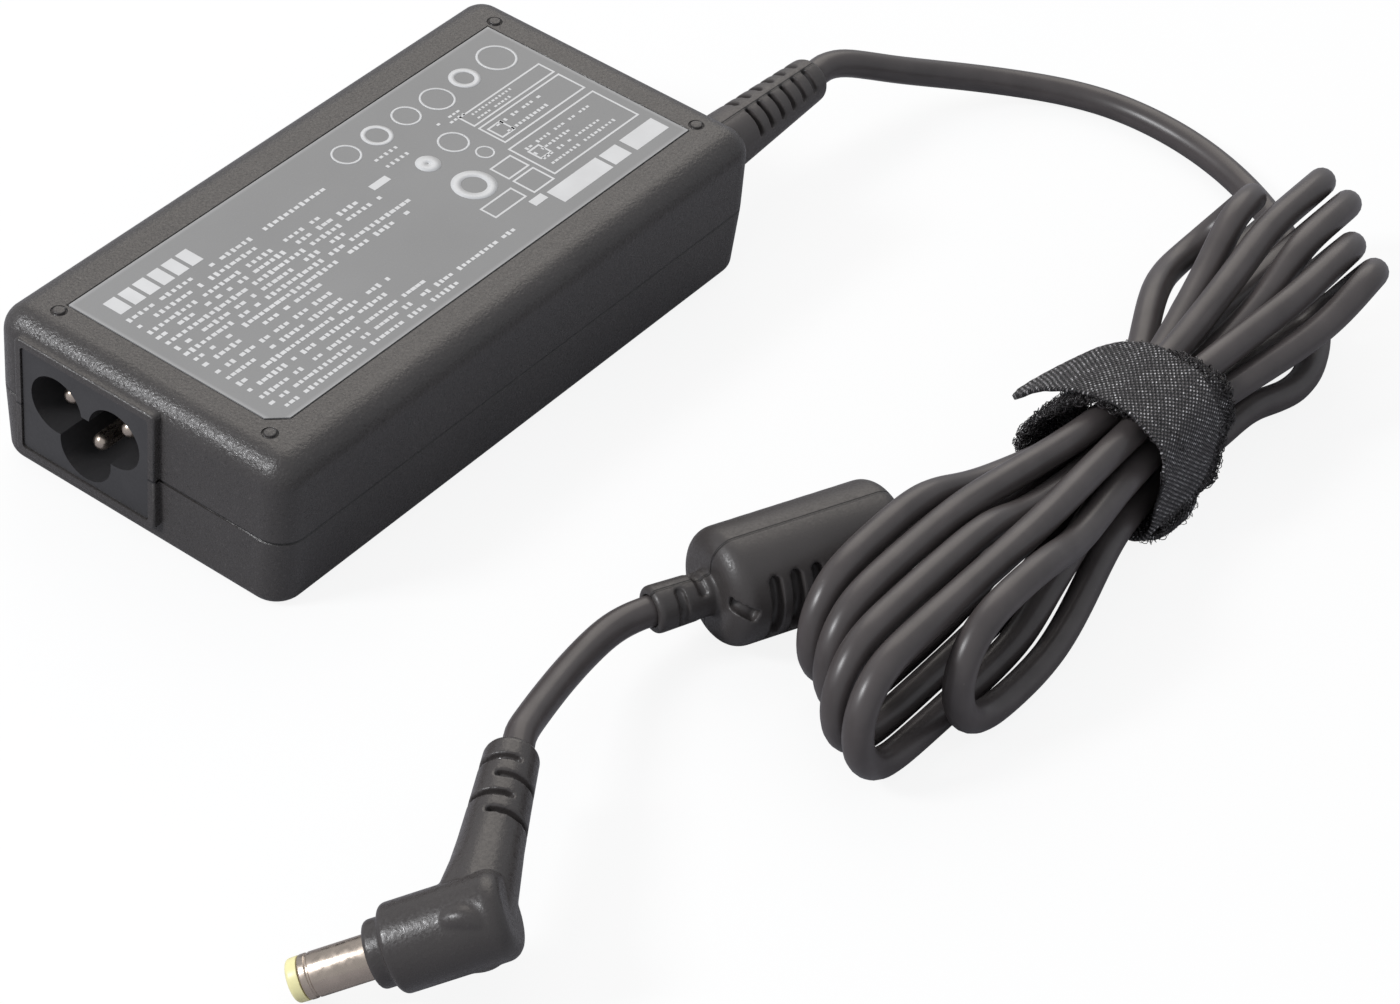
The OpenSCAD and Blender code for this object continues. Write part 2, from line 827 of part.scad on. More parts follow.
module transformer_bobbin() {
    y0 = core_yoke + fit;
    y1 = core_d - core_yoke - fit;
    grow = fit + bobbin_t;
    color([0.3, 0.28, 0.26]) in_transformer() {
        difference() {
            union() {
                leg_tube(grow, y0, y1);
                leg_tube(grow + wound_t, y0, y0 + bobbin_t);
                leg_tube(grow + wound_t, y1 - bobbin_t, y1);
            }
            leg_tube(fit, y0 - eps, y1 + eps);
        }
        for (y = [y0 - rail_w, y1 - bobbin_t])
            translate([2, y, -rail_h]) cube([core_w - 4, rail_w + bobbin_t, rail_h]);
    }
}

module transformer_winding() {
    inner = fit + bobbin_t + winding_gap;
    y0 = core_yoke + inner;
    y1 = core_d - core_yoke - inner;
    color([0.85, 0.75, 0.3]) in_transformer() difference() {
        leg_tube(fit + bobbin_t + wound_t, y0, y1);
        leg_tube(inner, y0 - eps, y1 + eps);
    }
}

module y_capacitors() {
    color([0.2, 0.45, 0.75])
        for (x = [4.5, 10])
            leaded_disc([transformer_x - 14 + x, -board_y + 6], 4, 3.2, 90);
}

module optocoupler() {
    color([0.9, 0.9, 0.88]) block([transformer_x - 6.5, -9, deck_z], [4.6, 6.5, 3.4]);
}

module control_chip() {
    color([0.1, 0.1, 0.11]) block([sink_x + 6, -6, board_z - 1.5], [5, 4, 1.5]);
}

module output_heat_sink() {
    color([0.75, 0.76, 0.78])
        block([output_sink_x, output_sink_y0, deck_z], [sink_t, output_sink_l, sink_h]);
}

module output_rectifier() {
    color([0.13, 0.13, 0.14])
        translate([output_sink_x + sink_t + package_t, output_sink_y0 + 4.5, deck_z])
            rotate(90) power_package();
}

module output_capacitors() {
    color([0.12, 0.25, 0.2])
        for (x = [3.5, 14.5])
            can([transformer_x + x, -board_y + can_r + 0.4], can_r, can_h);
}

module output_choke() {
    color([0.45, 0.45, 0.48]) can([board_x1 - 5, board_y - 5.5], 4, 10);
}

// Pads that fill the gap between the heat sinks and the upper insulator
module thermal_pads() {
    pad_z = deck_z + sink_h;
    color([0.55, 0.6, 0.68]) {
        block([sink_x, sink_y, pad_z], [sink_l, sink_t, film_bottom_z - pad_z]);
        block(
            [output_sink_x, output_sink_y0, pad_z],
            [sink_t, output_sink_l, film_bottom_z - pad_z]
        );
    }
}

module sheet(z, t) {
    difference() {
        translate([sheet_x0, -sheet_y, z]) cube([sheet_x1 - sheet_x0, 2 * sheet_y, t]);
        for (p = post_places)
            translate([p[0], p[1], z - eps]) cylinder(r = post_r + 0.3, h = t + 2 * eps);
    }
}

module upper_insulator() {
    color([0.85, 0.82, 0.6])
        block([sheet_x0, -sheet_y, film_bottom_z], [sheet_x1 - sheet_x0, 2 * sheet_y, film_t]);
}

module upper_heat_spreader() {
    color([0.78, 0.78, 0.8])
        block([sheet_x0, -sheet_y, film_top_z], [sheet_x1 - sheet_x0, 2 * sheet_y, spreader_t]);
}

module lower_insulator() {
    color([0.85, 0.82, 0.6]) sheet(wall + spreader_t, film_t);
}

module lower_heat_spreader() {
    color([0.78, 0.78, 0.8]) sheet(wall, spreader_t);
}

module output_leads() {
    color([0.6, 0.1, 0.1])
        for (y = [-0.9, 0.9])
            bent_lead(tail_x, boot_y + y, boot_z, -lead_reach + y, lead_r);
}

// Jacketed lead inside its moulding, from the board side to the tip
module cable_tail() {
    color([0.12, 0.12, 0.12]) translate([tail_x, boot_y, boot_z])
        rotate([0, 90, 0]) cylinder(r = cord_r, h = boot_x - tail_x);
}

// Cuts part of the way round a moulding: width, floor radius, and arc either side
module arc_slot(z, w, floor_r, from, to) {
    translate([0, 0, z - w / 2]) rotate(from)
        rotate_extrude(angle = to - from) translate([floor_r, 0]) square([10, w]);
}

module output_strain_relief() {
    last = boot_l - 3.6;
    color([0.15, 0.15, 0.15]) translate([0, boot_y, boot_z]) rotate([0, 90, 0])
        difference() {
            union() {
                translate([0, 0, in_x - boot_flange_t])
                    cylinder(r = boot_flange_r, h = boot_flange_t);
                translate([0, 0, in_x]) cylinder(r = boot_r, h = wall);
                translate([0, 0, end_x]) rotate_extrude() {
                    polygon([
                        [0, 0], [boot_r, 0], [boot_tip_r, boot_l - boot_end_round],
                        [boot_tip_r - boot_end_round, boot_l], [0, boot_l]
                    ]);
                    translate([boot_tip_r - boot_end_round, boot_l - boot_end_round])
                        circle(boot_end_round);
                }
            }
            translate([0, 0, tail_x]) cylinder(r = cord_r + fit, h = boot_x - tail_x + eps);
            for (k = [0 : boot_slots - 1], from = [189, 103])
                arc_slot(end_x + last - k * boot_slot_pitch, slot_w, slot_deep, from, from + 68);
        }
}

module lead_to_hank() {
    color([0.14, 0.14, 0.14]) tube(spline(boot_route, ring_step), cord_r, free_sides, [0, 0, 1]);
}

module lead_hank() {
    echo(str("least gap between the hank's runs, mm: ", least_gap(hank_route, cord_d)));
    color([0.14, 0.14, 0.14]) tube(hank_route, cord_r, wound_sides, [0, 1, 0]);
}

module lead_to_ferrite() {
    color([0.14, 0.14, 0.14])
        tube(spline(ferrite_route, ring_step), cord_r, free_sides, [0, 0, 1]);
}

// A rectangle whose four corners have radii of their own, from the low left round
module strap_outline(w, h, radii) {
    ways = [[-1, -1], [1, -1], [1, 1], [-1, 1]];
    polygon([
        for (i = [0 : 3])
            let (
                r = radii[i], x = ways[i][0], y = ways[i][1],
                on_side = [x * w / 2, y * (h / 2 - r)], on_end = [x * (w / 2 - r), y * h / 2]
            )
                each x * y > 0 ? [on_side, on_end] : [on_end, on_side]
    ]);
    for (i = [0 : 3])
        translate([ways[i][0] * (w / 2 - radii[i]), ways[i][1] * (h / 2 - radii[i])])
            circle(radii[i]);
}

// The free tail: laid over the band's top, then standing off it, drawn in to a tip
module strap_tail(top) {
    tip_y = waist_y + tail_l;
    root_y = waist_y + 1.5;
    near_x = strap_x - strap_w / 2;
    far_x = strap_x + strap_w / 2;
    intersection() {
        across(near_x - tail_skew - eps, far_x + eps)
            polygon([
                [waist_y - tail_over, top - 0.3], [root_y, top - 0.3],
                [tip_y, top - tail_drop], [tip_y, top - tail_drop + tail_t],
                [root_y, top + tail_t], [waist_y - tail_over, top + tail_t]
            ]);
        linear_extrude(top + 2 * tail_t)
            polygon([
                [near_x, waist_y - tail_over], [far_x, waist_y - tail_over],
                [far_x, root_y], [strap_x + 3, waist_y + 0.55 * tail_l],
                [strap_x - 3.3, waist_y + 0.85 * tail_l],
                [near_x - tail_skew + 0.8, tip_y], [near_x - tail_skew, tip_y - 0.7],
                [near_x - tail_skew / 2, waist_y + 0.5 * tail_l], [near_x, root_y]
            ]);
    }
}

// A closed band round the hank's waist, its tail over the top, and its inner end
module cable_strap() {
    half = hank_loops / 2 * waist_step + cord_r + strap_gap;
    low = rest_gap + strap_t;
    high = ceil(10 * (low_z(waist_x) + waist_rise + cord_r + strap_gap)) / 10;
    w = 2 * half;
    h = high - low;
    inner = [2.5, 5, 8, 5];
    outer = [for (r = inner) r + strap_t];
    near_x = strap_x - strap_w / 2;
    flap_y = waist_y - half - strap_t - flap_l;
    color([0.1, 0.1, 0.1]) difference() {
        union() {
            across(near_x, near_x + strap_w)
                translate([waist_y, low + h / 2])
                    strap_outline(w + 2 * strap_t, h + 2 * strap_t, outer);
            strap_tail(high + strap_t);
            translate([near_x, flap_y, rest_gap]) cube([strap_w, flap_l + outer[0], flap_t]);
        }
        across(near_x - eps, near_x + strap_w + eps)
            translate([waist_y, low + h / 2]) strap_outline(w, h, inner);
    }
}

module in_ferrite() {
    translate(ferrite_at) rotate([0, 0, ferrite_turn]) rotate([0, 90, 0]) children();
}

module ferrite_core() {
    color([0.25, 0.25, 0.27]) in_ferrite() difference() {
        cylinder(r = core_r, h = core_l, center = true);
        cylinder(r = cord_r + fit, h = core_l + 2 * eps, center = true);
    }
}

// The two short slotted sleeves, each with cuts that alternate round it
module sleeve_slots() {
    for (end = [-1, 1]) {
        for (from = [-50, 130])
            arc_slot(end * (ferrite_l / 2 + 1.9), 1.3, cord_r + 0.35, from, from + 100);
        for (from = [40, 220])
            arc_slot(end * (ferrite_l / 2 + 5), 1.3, cord_r + 0.35, from, from + 100);
    }
}

module ferrite_jacket() {
    mid = ferrite_r - ferrite_round;
    color([0.15, 0.15, 0.15]) in_ferrite() difference() {
        union() {
            rotate_extrude() {
                translate([0, -ferrite_l / 2]) square([mid, ferrite_l]);
                translate([0, -ferrite_l / 2 + ferrite_round])
                    square([ferrite_r, ferrite_l - 2 * ferrite_round]);
                for (y = [-1, 1])
                    translate([mid, y * (ferrite_l / 2 - ferrite_round)])
                        circle(ferrite_round);
            }
            cylinder(r = sleeve_r, h = 2 * ferrite_half, center = true);
        }
        cylinder(r = core_r + fit, h = core_l, center = true);
        cylinder(r = cord_r + fit, h = 2 * ferrite_half + eps, center = true);
        sleeve_slots();
        for (k = [0 : ferrite_slots - 1], from = [227, 55])
            arc_slot(
                (k - (ferrite_slots - 1) / 2) * ferrite_slot_pitch,
                1.5, core_r + 0.6, from, from + 78
            );
    }
}

module ferrite_cable() {
    color([0.12, 0.12, 0.12]) in_ferrite()
        cylinder(r = cord_r, h = 2 * ferrite_half, center = true);
}

module lead_to_plug() {
    color([0.14, 0.14, 0.14]) tube(spline(plug_route, ring_step), cord_r, free_sides, [0, 0, 1]);
}

// Along the plug's barrel, from the elbow forwards
module in_plug() {
    translate(plug_at) rotate([0, 0, plug_turn]) rotate([0, 90 + plug_dip, 0]) children();
}

// Along the plug's neck, from the elbow back to the lead
module in_neck() {
    translate(plug_at) rotate([0, 0, neck_turn]) rotate([0, 90, 0]) children();
}

module plug_body() {
    front_round = 1.2;
    color([0.15, 0.15, 0.16]) difference() {
        union() {
            in_plug() {
                sphere(plug_r);
                cylinder(r = plug_r, h = plug_l - front_round);
                translate([0, 0, plug_l - front_round])
                    cylinder(r1 = plug_r, r2 = plug_r - front_round, h = front_round);
                translate([0, 0, plug_l - eps]) cylinder(r = collar_r, h = collar_l + eps);
            }
            in_neck() {
                cylinder(r1 = plug_r - 0.4, r2 = neck_r + 0.6, h = neck_l / 2);
                translate([0, 0, neck_l / 2])
                    cylinder(r1 = neck_r + 0.6, r2 = neck_r, h = neck_l / 2 - front_round);
                translate([0, 0, neck_l - front_round])
                    cylinder(r1 = neck_r, r2 = neck_r - front_round, h = front_round);
            }
        }
        in_plug() translate([0, 0, plug_l + collar_l - barrel_in])
            cylinder(r = barrel_r - sleeve_step + fit, h = barrel_in + eps);
        in_neck() translate([0, 0, plug_r + 2])
            cylinder(r = cord_r + fit, h = neck_l);
        in_neck() for (k = [0 : 1]) {
            for (from = [96, 276])
                arc_slot(neck_l - 4 - k * 6.3, 0.9, cord_r + 0.6, from, from + 112);
            for (from = [160, 340])
                arc_slot(neck_l - 7 - k * 6.3, 0.9, cord_r + 0.6, from, from + 112);
        }
    }
}

module plug_cable() {
    color([0.12, 0.12, 0.12]) in_neck()
        translate([0, 0, plug_r + 2]) cylinder(r = cord_r, h = neck_l - plug_r - 2);
}

module plug_sleeve() {
    back = plug_l + collar_l - barrel_in;
    long = barrel_in + barrel_l - tip_l;
    color([0.8, 0.78, 0.72]) in_plug() translate([0, 0, back]) difference() {
        union() {
            cylinder(r = barrel_r - sleeve_step, h = barrel_in + eps);
            translate([0, 0, barrel_in]) cylinder(r = barrel_r, h = long - barrel_in);
        }
        translate([0, 0, -eps]) cylinder(r = barrel_r - sleeve_wall, h = long + 2 * eps);
    }
}

module plug_tip_insulator() {
    back = plug_l + collar_l - barrel_in;
    long = barrel_in + barrel_l;
    color([0.95, 0.9, 0.5]) in_plug() difference() {
        union() {
            translate([0, 0, back]) cylinder(r = barrel_r - sleeve_wall - fit, h = long);
            translate([0, 0, back + long - tip_l]) cylinder(r = barrel_r, h = tip_l);
        }
        translate([0, 0, back - eps])
            cylinder(r = bore_r + contact_wall + fit, h = long + 2 * eps);
    }
}

module plug_inner_contact() {
    back = plug_l + collar_l - barrel_in;
    long = barrel_in + barrel_l - tip_l / 2;
    color([0.75, 0.73, 0.68]) in_plug() translate([0, 0, back]) difference() {
        cylinder(r = bore_r + contact_wall, h = long);
        translate([0, 0, 1]) cylinder(r = bore_r, h = long);
    }
}

top_cover();
bottom_cover();
rating_label();
inlet_housing();
line_pin();
neutral_pin();
earth_pin();
inlet_leads();
circuit_board();
input_fuse();
surge_varistor();
inrush_thermistor();
x_capacitor();
choke_core();
choke_windings();
bridge_rectifier();
bulk_capacitor();
primary_heat_sink();
primary_switch();
transformer_core();
transformer_bobbin();
transformer_winding();
y_capacitors();
optocoupler();
control_chip();
output_heat_sink();
output_rectifier();
output_capacitors();
output_choke();
thermal_pads();
upper_insulator();
upper_heat_spreader();
lower_insulator();
lower_heat_spreader();
output_leads();
cable_tail();
output_strain_relief();
lead_to_hank();
lead_hank();
lead_to_ferrite();
cable_strap();
ferrite_core();
ferrite_jacket();
ferrite_cable();
lead_to_plug();
plug_body();
plug_cable();
plug_sleeve();
plug_tip_insulator();
plug_inner_contact();
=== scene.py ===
import json
import math
from contextlib import contextmanager
from functools import cache

import bmesh
import bpy
import numpy as np
from bpy.props import FloatProperty, FloatVectorProperty, IntProperty, PointerProperty
from mathutils import Matrix, Vector
from mathutils.bvhtree import BVHTree

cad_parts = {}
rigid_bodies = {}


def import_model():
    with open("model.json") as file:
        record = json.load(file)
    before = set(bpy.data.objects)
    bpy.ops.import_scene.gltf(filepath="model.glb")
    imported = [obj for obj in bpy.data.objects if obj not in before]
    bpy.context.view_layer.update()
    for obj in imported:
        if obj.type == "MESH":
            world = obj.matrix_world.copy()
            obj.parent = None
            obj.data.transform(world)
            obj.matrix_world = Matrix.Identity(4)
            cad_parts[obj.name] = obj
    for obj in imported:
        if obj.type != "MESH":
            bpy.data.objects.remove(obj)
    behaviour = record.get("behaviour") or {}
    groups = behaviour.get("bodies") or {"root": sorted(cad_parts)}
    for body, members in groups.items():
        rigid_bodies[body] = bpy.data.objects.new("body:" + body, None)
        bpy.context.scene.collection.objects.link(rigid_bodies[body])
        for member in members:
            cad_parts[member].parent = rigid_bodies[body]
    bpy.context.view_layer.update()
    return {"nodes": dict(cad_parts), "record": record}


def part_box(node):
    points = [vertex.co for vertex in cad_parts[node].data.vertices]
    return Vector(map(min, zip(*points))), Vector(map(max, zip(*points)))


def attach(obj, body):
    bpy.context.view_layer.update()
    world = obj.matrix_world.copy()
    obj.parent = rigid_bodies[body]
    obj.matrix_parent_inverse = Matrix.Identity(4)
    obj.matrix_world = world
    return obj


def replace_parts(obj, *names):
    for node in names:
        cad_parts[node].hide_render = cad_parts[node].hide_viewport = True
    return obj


bl_info = {
    "name": "Laptop power adapter",
    "version": (1, 0, 0),
    "blender": (4, 5, 0),
    "location": "View3D > Sidebar > Adapter",
    "description": "Dresses the frame of a laptop power adapter and sets its stage",
    "category": "Object",
}

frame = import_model()
NODES = frame["nodes"]
SLOTS = {}

MM = 0.001


# ---------------------------------------------------------------- settings

def colour(name, description, value):
    return FloatVectorProperty(
        name=name, description=description, default=value,
        size=3, min=0.0, max=1.0, subtype="COLOR",
    )


def number(name, description, value, low, high, **more):
    return FloatProperty(
        name=name, description=description, default=value, min=low, max=high, **more
    )


def length_mm(name, description, value, low, high):
    return number(name, description + ", in millimetres", value, low, high, precision=2)


class AdapterCasing(bpy.types.PropertyGroup):
    shell: colour("Shell", "Colour of the casing's plastic", (0.050, 0.0455, 0.044))
    grain: length_mm("Grain", "Size of the spark-eroded grain", 0.46, 0.1, 2.0)
    label: colour("Label", "Colour of the rating label's film", (0.235, 0.235, 0.235))
    ink: colour("Ink", "Colour of the label's plain bars", (0.62, 0.62, 0.62))
    stud_r: length_mm("Stud", "Radius of the weld studs at the top's corners", 0.8, 0.3, 2.0)


class AdapterLead(bpy.types.PropertyGroup):
    diameter: length_mm("Diameter", "Diameter of the output lead", 4.1, 2.0, 8.0)
    sides: IntProperty(
        name="Sides", description="Faces round the lead", default=18, min=8, max=48
    )
    step: length_mm("Step", "Distance between the lead's rings", 1.1, 0.5, 4.0)
    jacket: colour("Jacket", "Colour of the lead's jacket", (0.069, 0.060, 0.059))


class AdapterStrap(bpy.types.PropertyGroup):
    thickness: length_mm("Thickness", "Thickness of each layer of the strap", 0.7, 0.3, 1.5)
    rib: length_mm("Rib", "Distance between the woven ribs", 0.85, 0.3, 2.0)
    pile: number("Pile", "Loops of pile on each square millimetre", 1.7, 0.0, 4.0)
    fringe: number("Fringe", "Loops on each square millimetre of its edges", 5.0, 0.0, 12.0)
    loop_r: length_mm("Loop", "Radius of the pile's loops", 0.55, 0.1, 1.0)
    seed: IntProperty(name="Seed", description="Seed of the pile", default=7, min=0)
    nylon: colour("Nylon", "Colour of the strap's yarn", (0.022, 0.020, 0.021))


class AdapterMouldings(bpy.types.PropertyGroup):
    rubber: colour("Rubber", "Colour of the soft mouldings", (0.050, 0.0445, 0.043))
    voxel: length_mm("Voxel", "Size of the faces of the soft mouldings", 0.22, 0.1, 1.0)
    nickel: colour("Nickel", "Colour of the plated contacts", (0.54, 0.46, 0.39))
    tip: colour("Tip", "Colour of the barrel's insulating tip", (0.86, 0.80, 0.42))


class AdapterStage(bpy.types.PropertyGroup):
    lens: length_mm("Lens", "Focal length of the camera", 109.2, 20.0, 300.0)
    floor: colour("Floor", "Colour of the floor as it lights the adapter", (0.40, 0.40, 0.43))
    floor_seen: number(
        "Floor seen", "Share of the floor's own white that the camera sees", 0.88, 0.0, 1.0,
        subtype="FACTOR",
    )
    key: number(
        "Key", "Power of the key light", 7.0, 0.0, 1000.0, subtype="POWER", unit="POWER"
    )
    box: number(
        "Box", "Power of the broad light beyond the adapter", 4.2, 0.0, 1000.0,
        subtype="POWER", unit="POWER",
    )
    sky: number("Sky", "Strength of the light from all round", 0.56, 0.0, 4.0)
    width: number(
        "Width", "Width of the floor", 6.0, 1.0, 100.0, subtype="DISTANCE", unit="LENGTH"
    )


GROUPS = {
    "adapter_casing": AdapterCasing,
    "adapter_lead": AdapterLead,
    "adapter_strap": AdapterStrap,
    "adapter_mouldings": AdapterMouldings,
    "adapter_stage": AdapterStage,
}


# ---------------------------------------------------------------- meshes

def linked(name, mesh):
    obj = bpy.data.objects.new(name, mesh)
    bpy.context.scene.collection.objects.link(obj)
    return obj


def piece(name, points, faces, uvs=None, place=None, smooth=True):
    """An object from points in millimetres, faces, and a UV pair for each point."""
    mesh = bpy.data.meshes.new(name)
    at = place or Matrix()
    mesh.from_pydata([at @ (Vector(p) * MM) for p in points], [], faces)
    if uvs is not None:
        layer = mesh.uv_layers.new(name="UVMap")
        for loop in mesh.loops:
            layer.data[loop.index].uv = uvs[loop.vertex_index]
    mesh.polygons.foreach_set("use_smooth", [smooth] * len(mesh.polygons))
    mesh.update()
    return linked(name, mesh)


def placed(at, turn=0.0, dip=0.0):
    """Lays a shape made along Z along X, dipped, turned about Z, at a point in mm."""
    return (
        Matrix.Translation(Vector(at) * MM)
        @ Matrix.Rotation(math.radians(turn), 4, "Z")
        @ Matrix.Rotation(math.radians(90 + dip), 4, "Y")
    )


def baked(obj):
    """The object with its modifiers applied."""
    depsgraph = bpy.context.evaluated_depsgraph_get()
    mesh = bpy.data.meshes.new_from_object(obj.evaluated_get(depsgraph))
    obj.modifiers.clear()
    old, obj.data = obj.data, mesh
    mesh.name = obj.name
    bpy.data.meshes.remove(old)
    return obj


@contextmanager
def edited(mesh):
    """The mesh opened for editing, and written back at the end."""
    bm = bmesh.new()
    bm.from_mesh(mesh)
    yield bm
    bm.to_mesh(mesh)
    bm.free()


def joined(objects, name):
    """One object from several, which go."""
    out = linked(name, bpy.data.meshes.new(name))
    with edited(out.data) as bm:
        for obj in objects:
            bm.from_mesh(obj.data)
    for obj in objects:
        discard(obj)
    return out


def discard(obj):
    mesh = obj.data
    bpy.data.objects.remove(obj)
    bpy.data.meshes.remove(mesh)


def smooth_shaded(obj, angle=None):
    mesh = obj.data
    mesh.polygons.foreach_set("use_smooth", [True] * len(mesh.polygons))
    if angle is not None:
        mesh.set_sharp_from_angle(angle=math.radians(angle))
    mesh.update()
    return obj


def rounded_profile(corners, steps):
    """A profile of (r, z) points from corners of (r, z, rounding)."""
    out = []
    for i, (r, z, bend) in enumerate(corners):
        here = Vector((r, z))
        if bend <= 0 or i in (0, len(corners) - 1):
            out.append(here)
            continue
        before = (Vector(corners[i - 1][:2]) - here).normalized()
        after = (Vector(corners[i + 1][:2]) - here).normalized()
        half = before.angle(after) / 2
        reach = bend / math.tan(half)
        start, end = here + before * reach, here + after * reach
        middle = here + (before + after).normalized() * (bend / math.sin(half))
        a, b = start - middle, end - middle
        for k in range(steps + 1):
            t = k / steps
            way = a.lerp(b, t)
            out.append(middle + way.normalized() * bend)
    return out


def lathe(name, profile, sides=72, place=None):
    """A closed solid of revolution about Z; the profile ends on the axis or meets itself."""
    points, faces, rings = [], [], []
    for r, z in profile:
        if r < 1e-6:
            rings.append([len(points)])
            points.append((0, 0, z))
            continue
        rings.append(list(range(len(points), len(points) + sides)))
        for k in range(sides):
            a = 2 * math.pi * k / sides
            points.append((r * math.cos(a), r * math.sin(a), z))
    hollow = len(rings[0]) > 1 and len(rings[-1]) > 1
    for low, high in zip(rings, rings[1:] + ([rings[0]] if hollow else [])):
        for k in range(sides):
            m = (k + 1) % sides
            if len(low) == 1 and len(high) == 1:
                continue
            if len(low) == 1:
                faces.append((low[0], high[m], high[k]))
            elif len(high) == 1:
                faces.append((low[k], low[m], high[0]))
            else:
                faces.append((low[k], low[m], high[m], high[k]))
    obj = piece(name, points, faces, place=place)
    face_outwards(obj)
    return obj


def turned(name, corners, sides=72, place=None, steps=5):
    """A lathed solid from corners of (r, z, rounding) in mm."""
    return lathe(name, rounded_profile(corners, steps), sides, place)


def face_outwards(obj):
    with edited(obj.data) as bm:
        bmesh.ops.remove_doubles(bm, verts=bm.verts, dist=1e-7)
        bmesh.ops.recalc_face_normals(bm, faces=bm.faces)
    obj.data.update()


def walls(rings, n):
    """Faces between rings of n points each."""
    return [
        (i * n + k, i * n + (k + 1) % n, (i + 1) * n + (k + 1) % n, (i + 1) * n + k)
        for i in range(rings - 1) for k in range(n)
    ]


def capped(rings, n):
    """Faces between rings of n points each, closed at both ends."""
    last = (rings - 1) * n
    return walls(rings, n) + [tuple(reversed(range(n))), tuple(range(last, last + n))]


def slot_cutter(name, width, r_in, r_out, start, sweep, steps=18):
    """A cutter for a slot with round ends, bent about Z."""
    points = []
    mid = (r_in + r_out) / 2
    reach = math.radians(sweep) * mid
    for k in range(steps + 1):
        s = reach * (0.5 - 0.5 * math.cos(math.pi * k / steps))
        edge = min(s, reach - s)
        inside = max(0.0, width / 2 - edge)
        half = max(0.02, math.sqrt(max(0.0, (width / 2) ** 2 - inside ** 2)))
        a = math.radians(start) + s / mid
        for r, z in ((r_in, -half), (r_out, -half), (r_out, half), (r_in, half)):
            points.append((r * math.cos(a), r * math.sin(a), z))
    last = 4 * steps
    ends = [(0, 3, 2, 1), (last, last + 1, last + 2, last + 3)]
    obj = piece(name, points, walls(steps + 1, 4) + ends)
    face_outwards(obj)
    return obj


# ---------------------------------------------------------------- node trees

def add_node(tree, kind, sources=(), **settings):
    """A new node's outputs. sources holds a value or an output for each of its inputs."""
    made = tree.nodes.new(kind)
    for name, value in settings.items():
        setattr(made, name, value)
    for key, source in dict(sources).items():
        if isinstance(source, bpy.types.NodeSocket):
            tree.links.new(source, made.inputs[key])
        else:
            made.inputs[key].default_value = source
    return made.outputs


class Graph:
    """A Geometry Nodes tree that lays copies of a mesh on points and paints them."""

    def __init__(self, name, **sockets):
        self.tree = bpy.data.node_groups.new(name, "GeometryNodeTree")
        self.ids = {
            key: self.tree.interface.new_socket(
                name=key, in_out="INPUT", socket_type="NodeSocket" + kind
            ).identifier
            for key, kind in (("Geometry", "Geometry"), *sockets.items())
        }
        self.tree.interface.new_socket(
            name="Geometry", in_out="OUTPUT", socket_type="NodeSocketGeometry"
        )
        self.given = self.node("NodeGroupInput")

    def node(self, kind, sources=(), **settings):
        return add_node(self.tree, kind, sources, **settings)

    def spread(self, points, instance, **more):
        """Ends the tree with a copy on each point, made real and painted."""
        laid = self.node(
            "GeometryNodeInstanceOnPoints", {"Points": points, "Instance": instance, **more}
        )
        real = self.node("GeometryNodeRealizeInstances", {0: laid[0]})
        paint = self.node(
            "GeometryNodeSetMaterial", {"Geometry": real[0], "Material": self.given["Material"]}
        )
        self.node("NodeGroupOutput", {0: paint[0]})
        return self


def grown(obj, graph, **values):
    """The object with a tree applied to it."""
    modifier = obj.modifiers.new("grown", "NODES")
    modifier.node_group = graph.tree
    for name, value in values.items():
        modifier[graph.ids[name]] = value
    return baked(obj)


@cache
def row_tree():
    """Repeats the mesh along Z: how many times, from where, how far apart."""
    graph = Graph(
        "repeat_in_a_row", Count="Int", Start="Float", Pitch="Float", Material="Material"
    )
    given = graph.given
    low = graph.node("ShaderNodeCombineXYZ", {"Z": given["Start"]})
    step = graph.node("ShaderNodeCombineXYZ", {"Z": given["Pitch"]})
    line = graph.node("GeometryNodeMeshLine", {
        "Count": given["Count"], "Start Location": low[0], "Offset": step[0],
    })
    return graph.spread(line[0], given["Geometry"])


@cache
def spots_tree():
    """Puts a copy of one object's mesh on each vertex of another."""
    graph = Graph("copies_on_spots", Piece="Object", Material="Material")
    info = graph.node("GeometryNodeObjectInfo", {"Object": graph.given["Piece"]})
    return graph.spread(graph.given["Geometry"], info["Geometry"])


@cache
def pile_tree():
    """Covers a surface with small open loops of yarn, and gives the loops alone."""
    graph = Graph(
        "looped_pile", Density="Float", Loop="Float", Yarn="Float", Seed="Int",
        Material="Material",
    )
    node, given = graph.node, graph.given
    seed = given["Seed"]
    scatter = node("GeometryNodeDistributePointsOnFaces", {
        "Mesh": given["Geometry"], "Density": given["Density"], "Seed": seed,
    })
    arc = node("GeometryNodeCurveArc", {
        "Resolution": 8, "Sweep Angle": math.radians(300), "Radius": given["Loop"],
    })
    thread = node("GeometryNodeCurvePrimitiveCircle", {"Resolution": 3, "Radius": given["Yarn"]})
    sweep = node("GeometryNodeCurveToMesh", {"Curve": arc[0], "Profile Curve": thread[0]})
    turn = node(
        "FunctionNodeRandomValue", {1: (6.283, 6.283, 6.283), "Seed": seed},
        data_type="FLOAT_VECTOR",
    )
    size = node("FunctionNodeRandomValue", {2: 0.45, 3: 1.15, "Seed": seed}, data_type="FLOAT")
    return graph.spread(scatter["Points"], sweep[0], Rotation=turn[0], Scale=size[1])


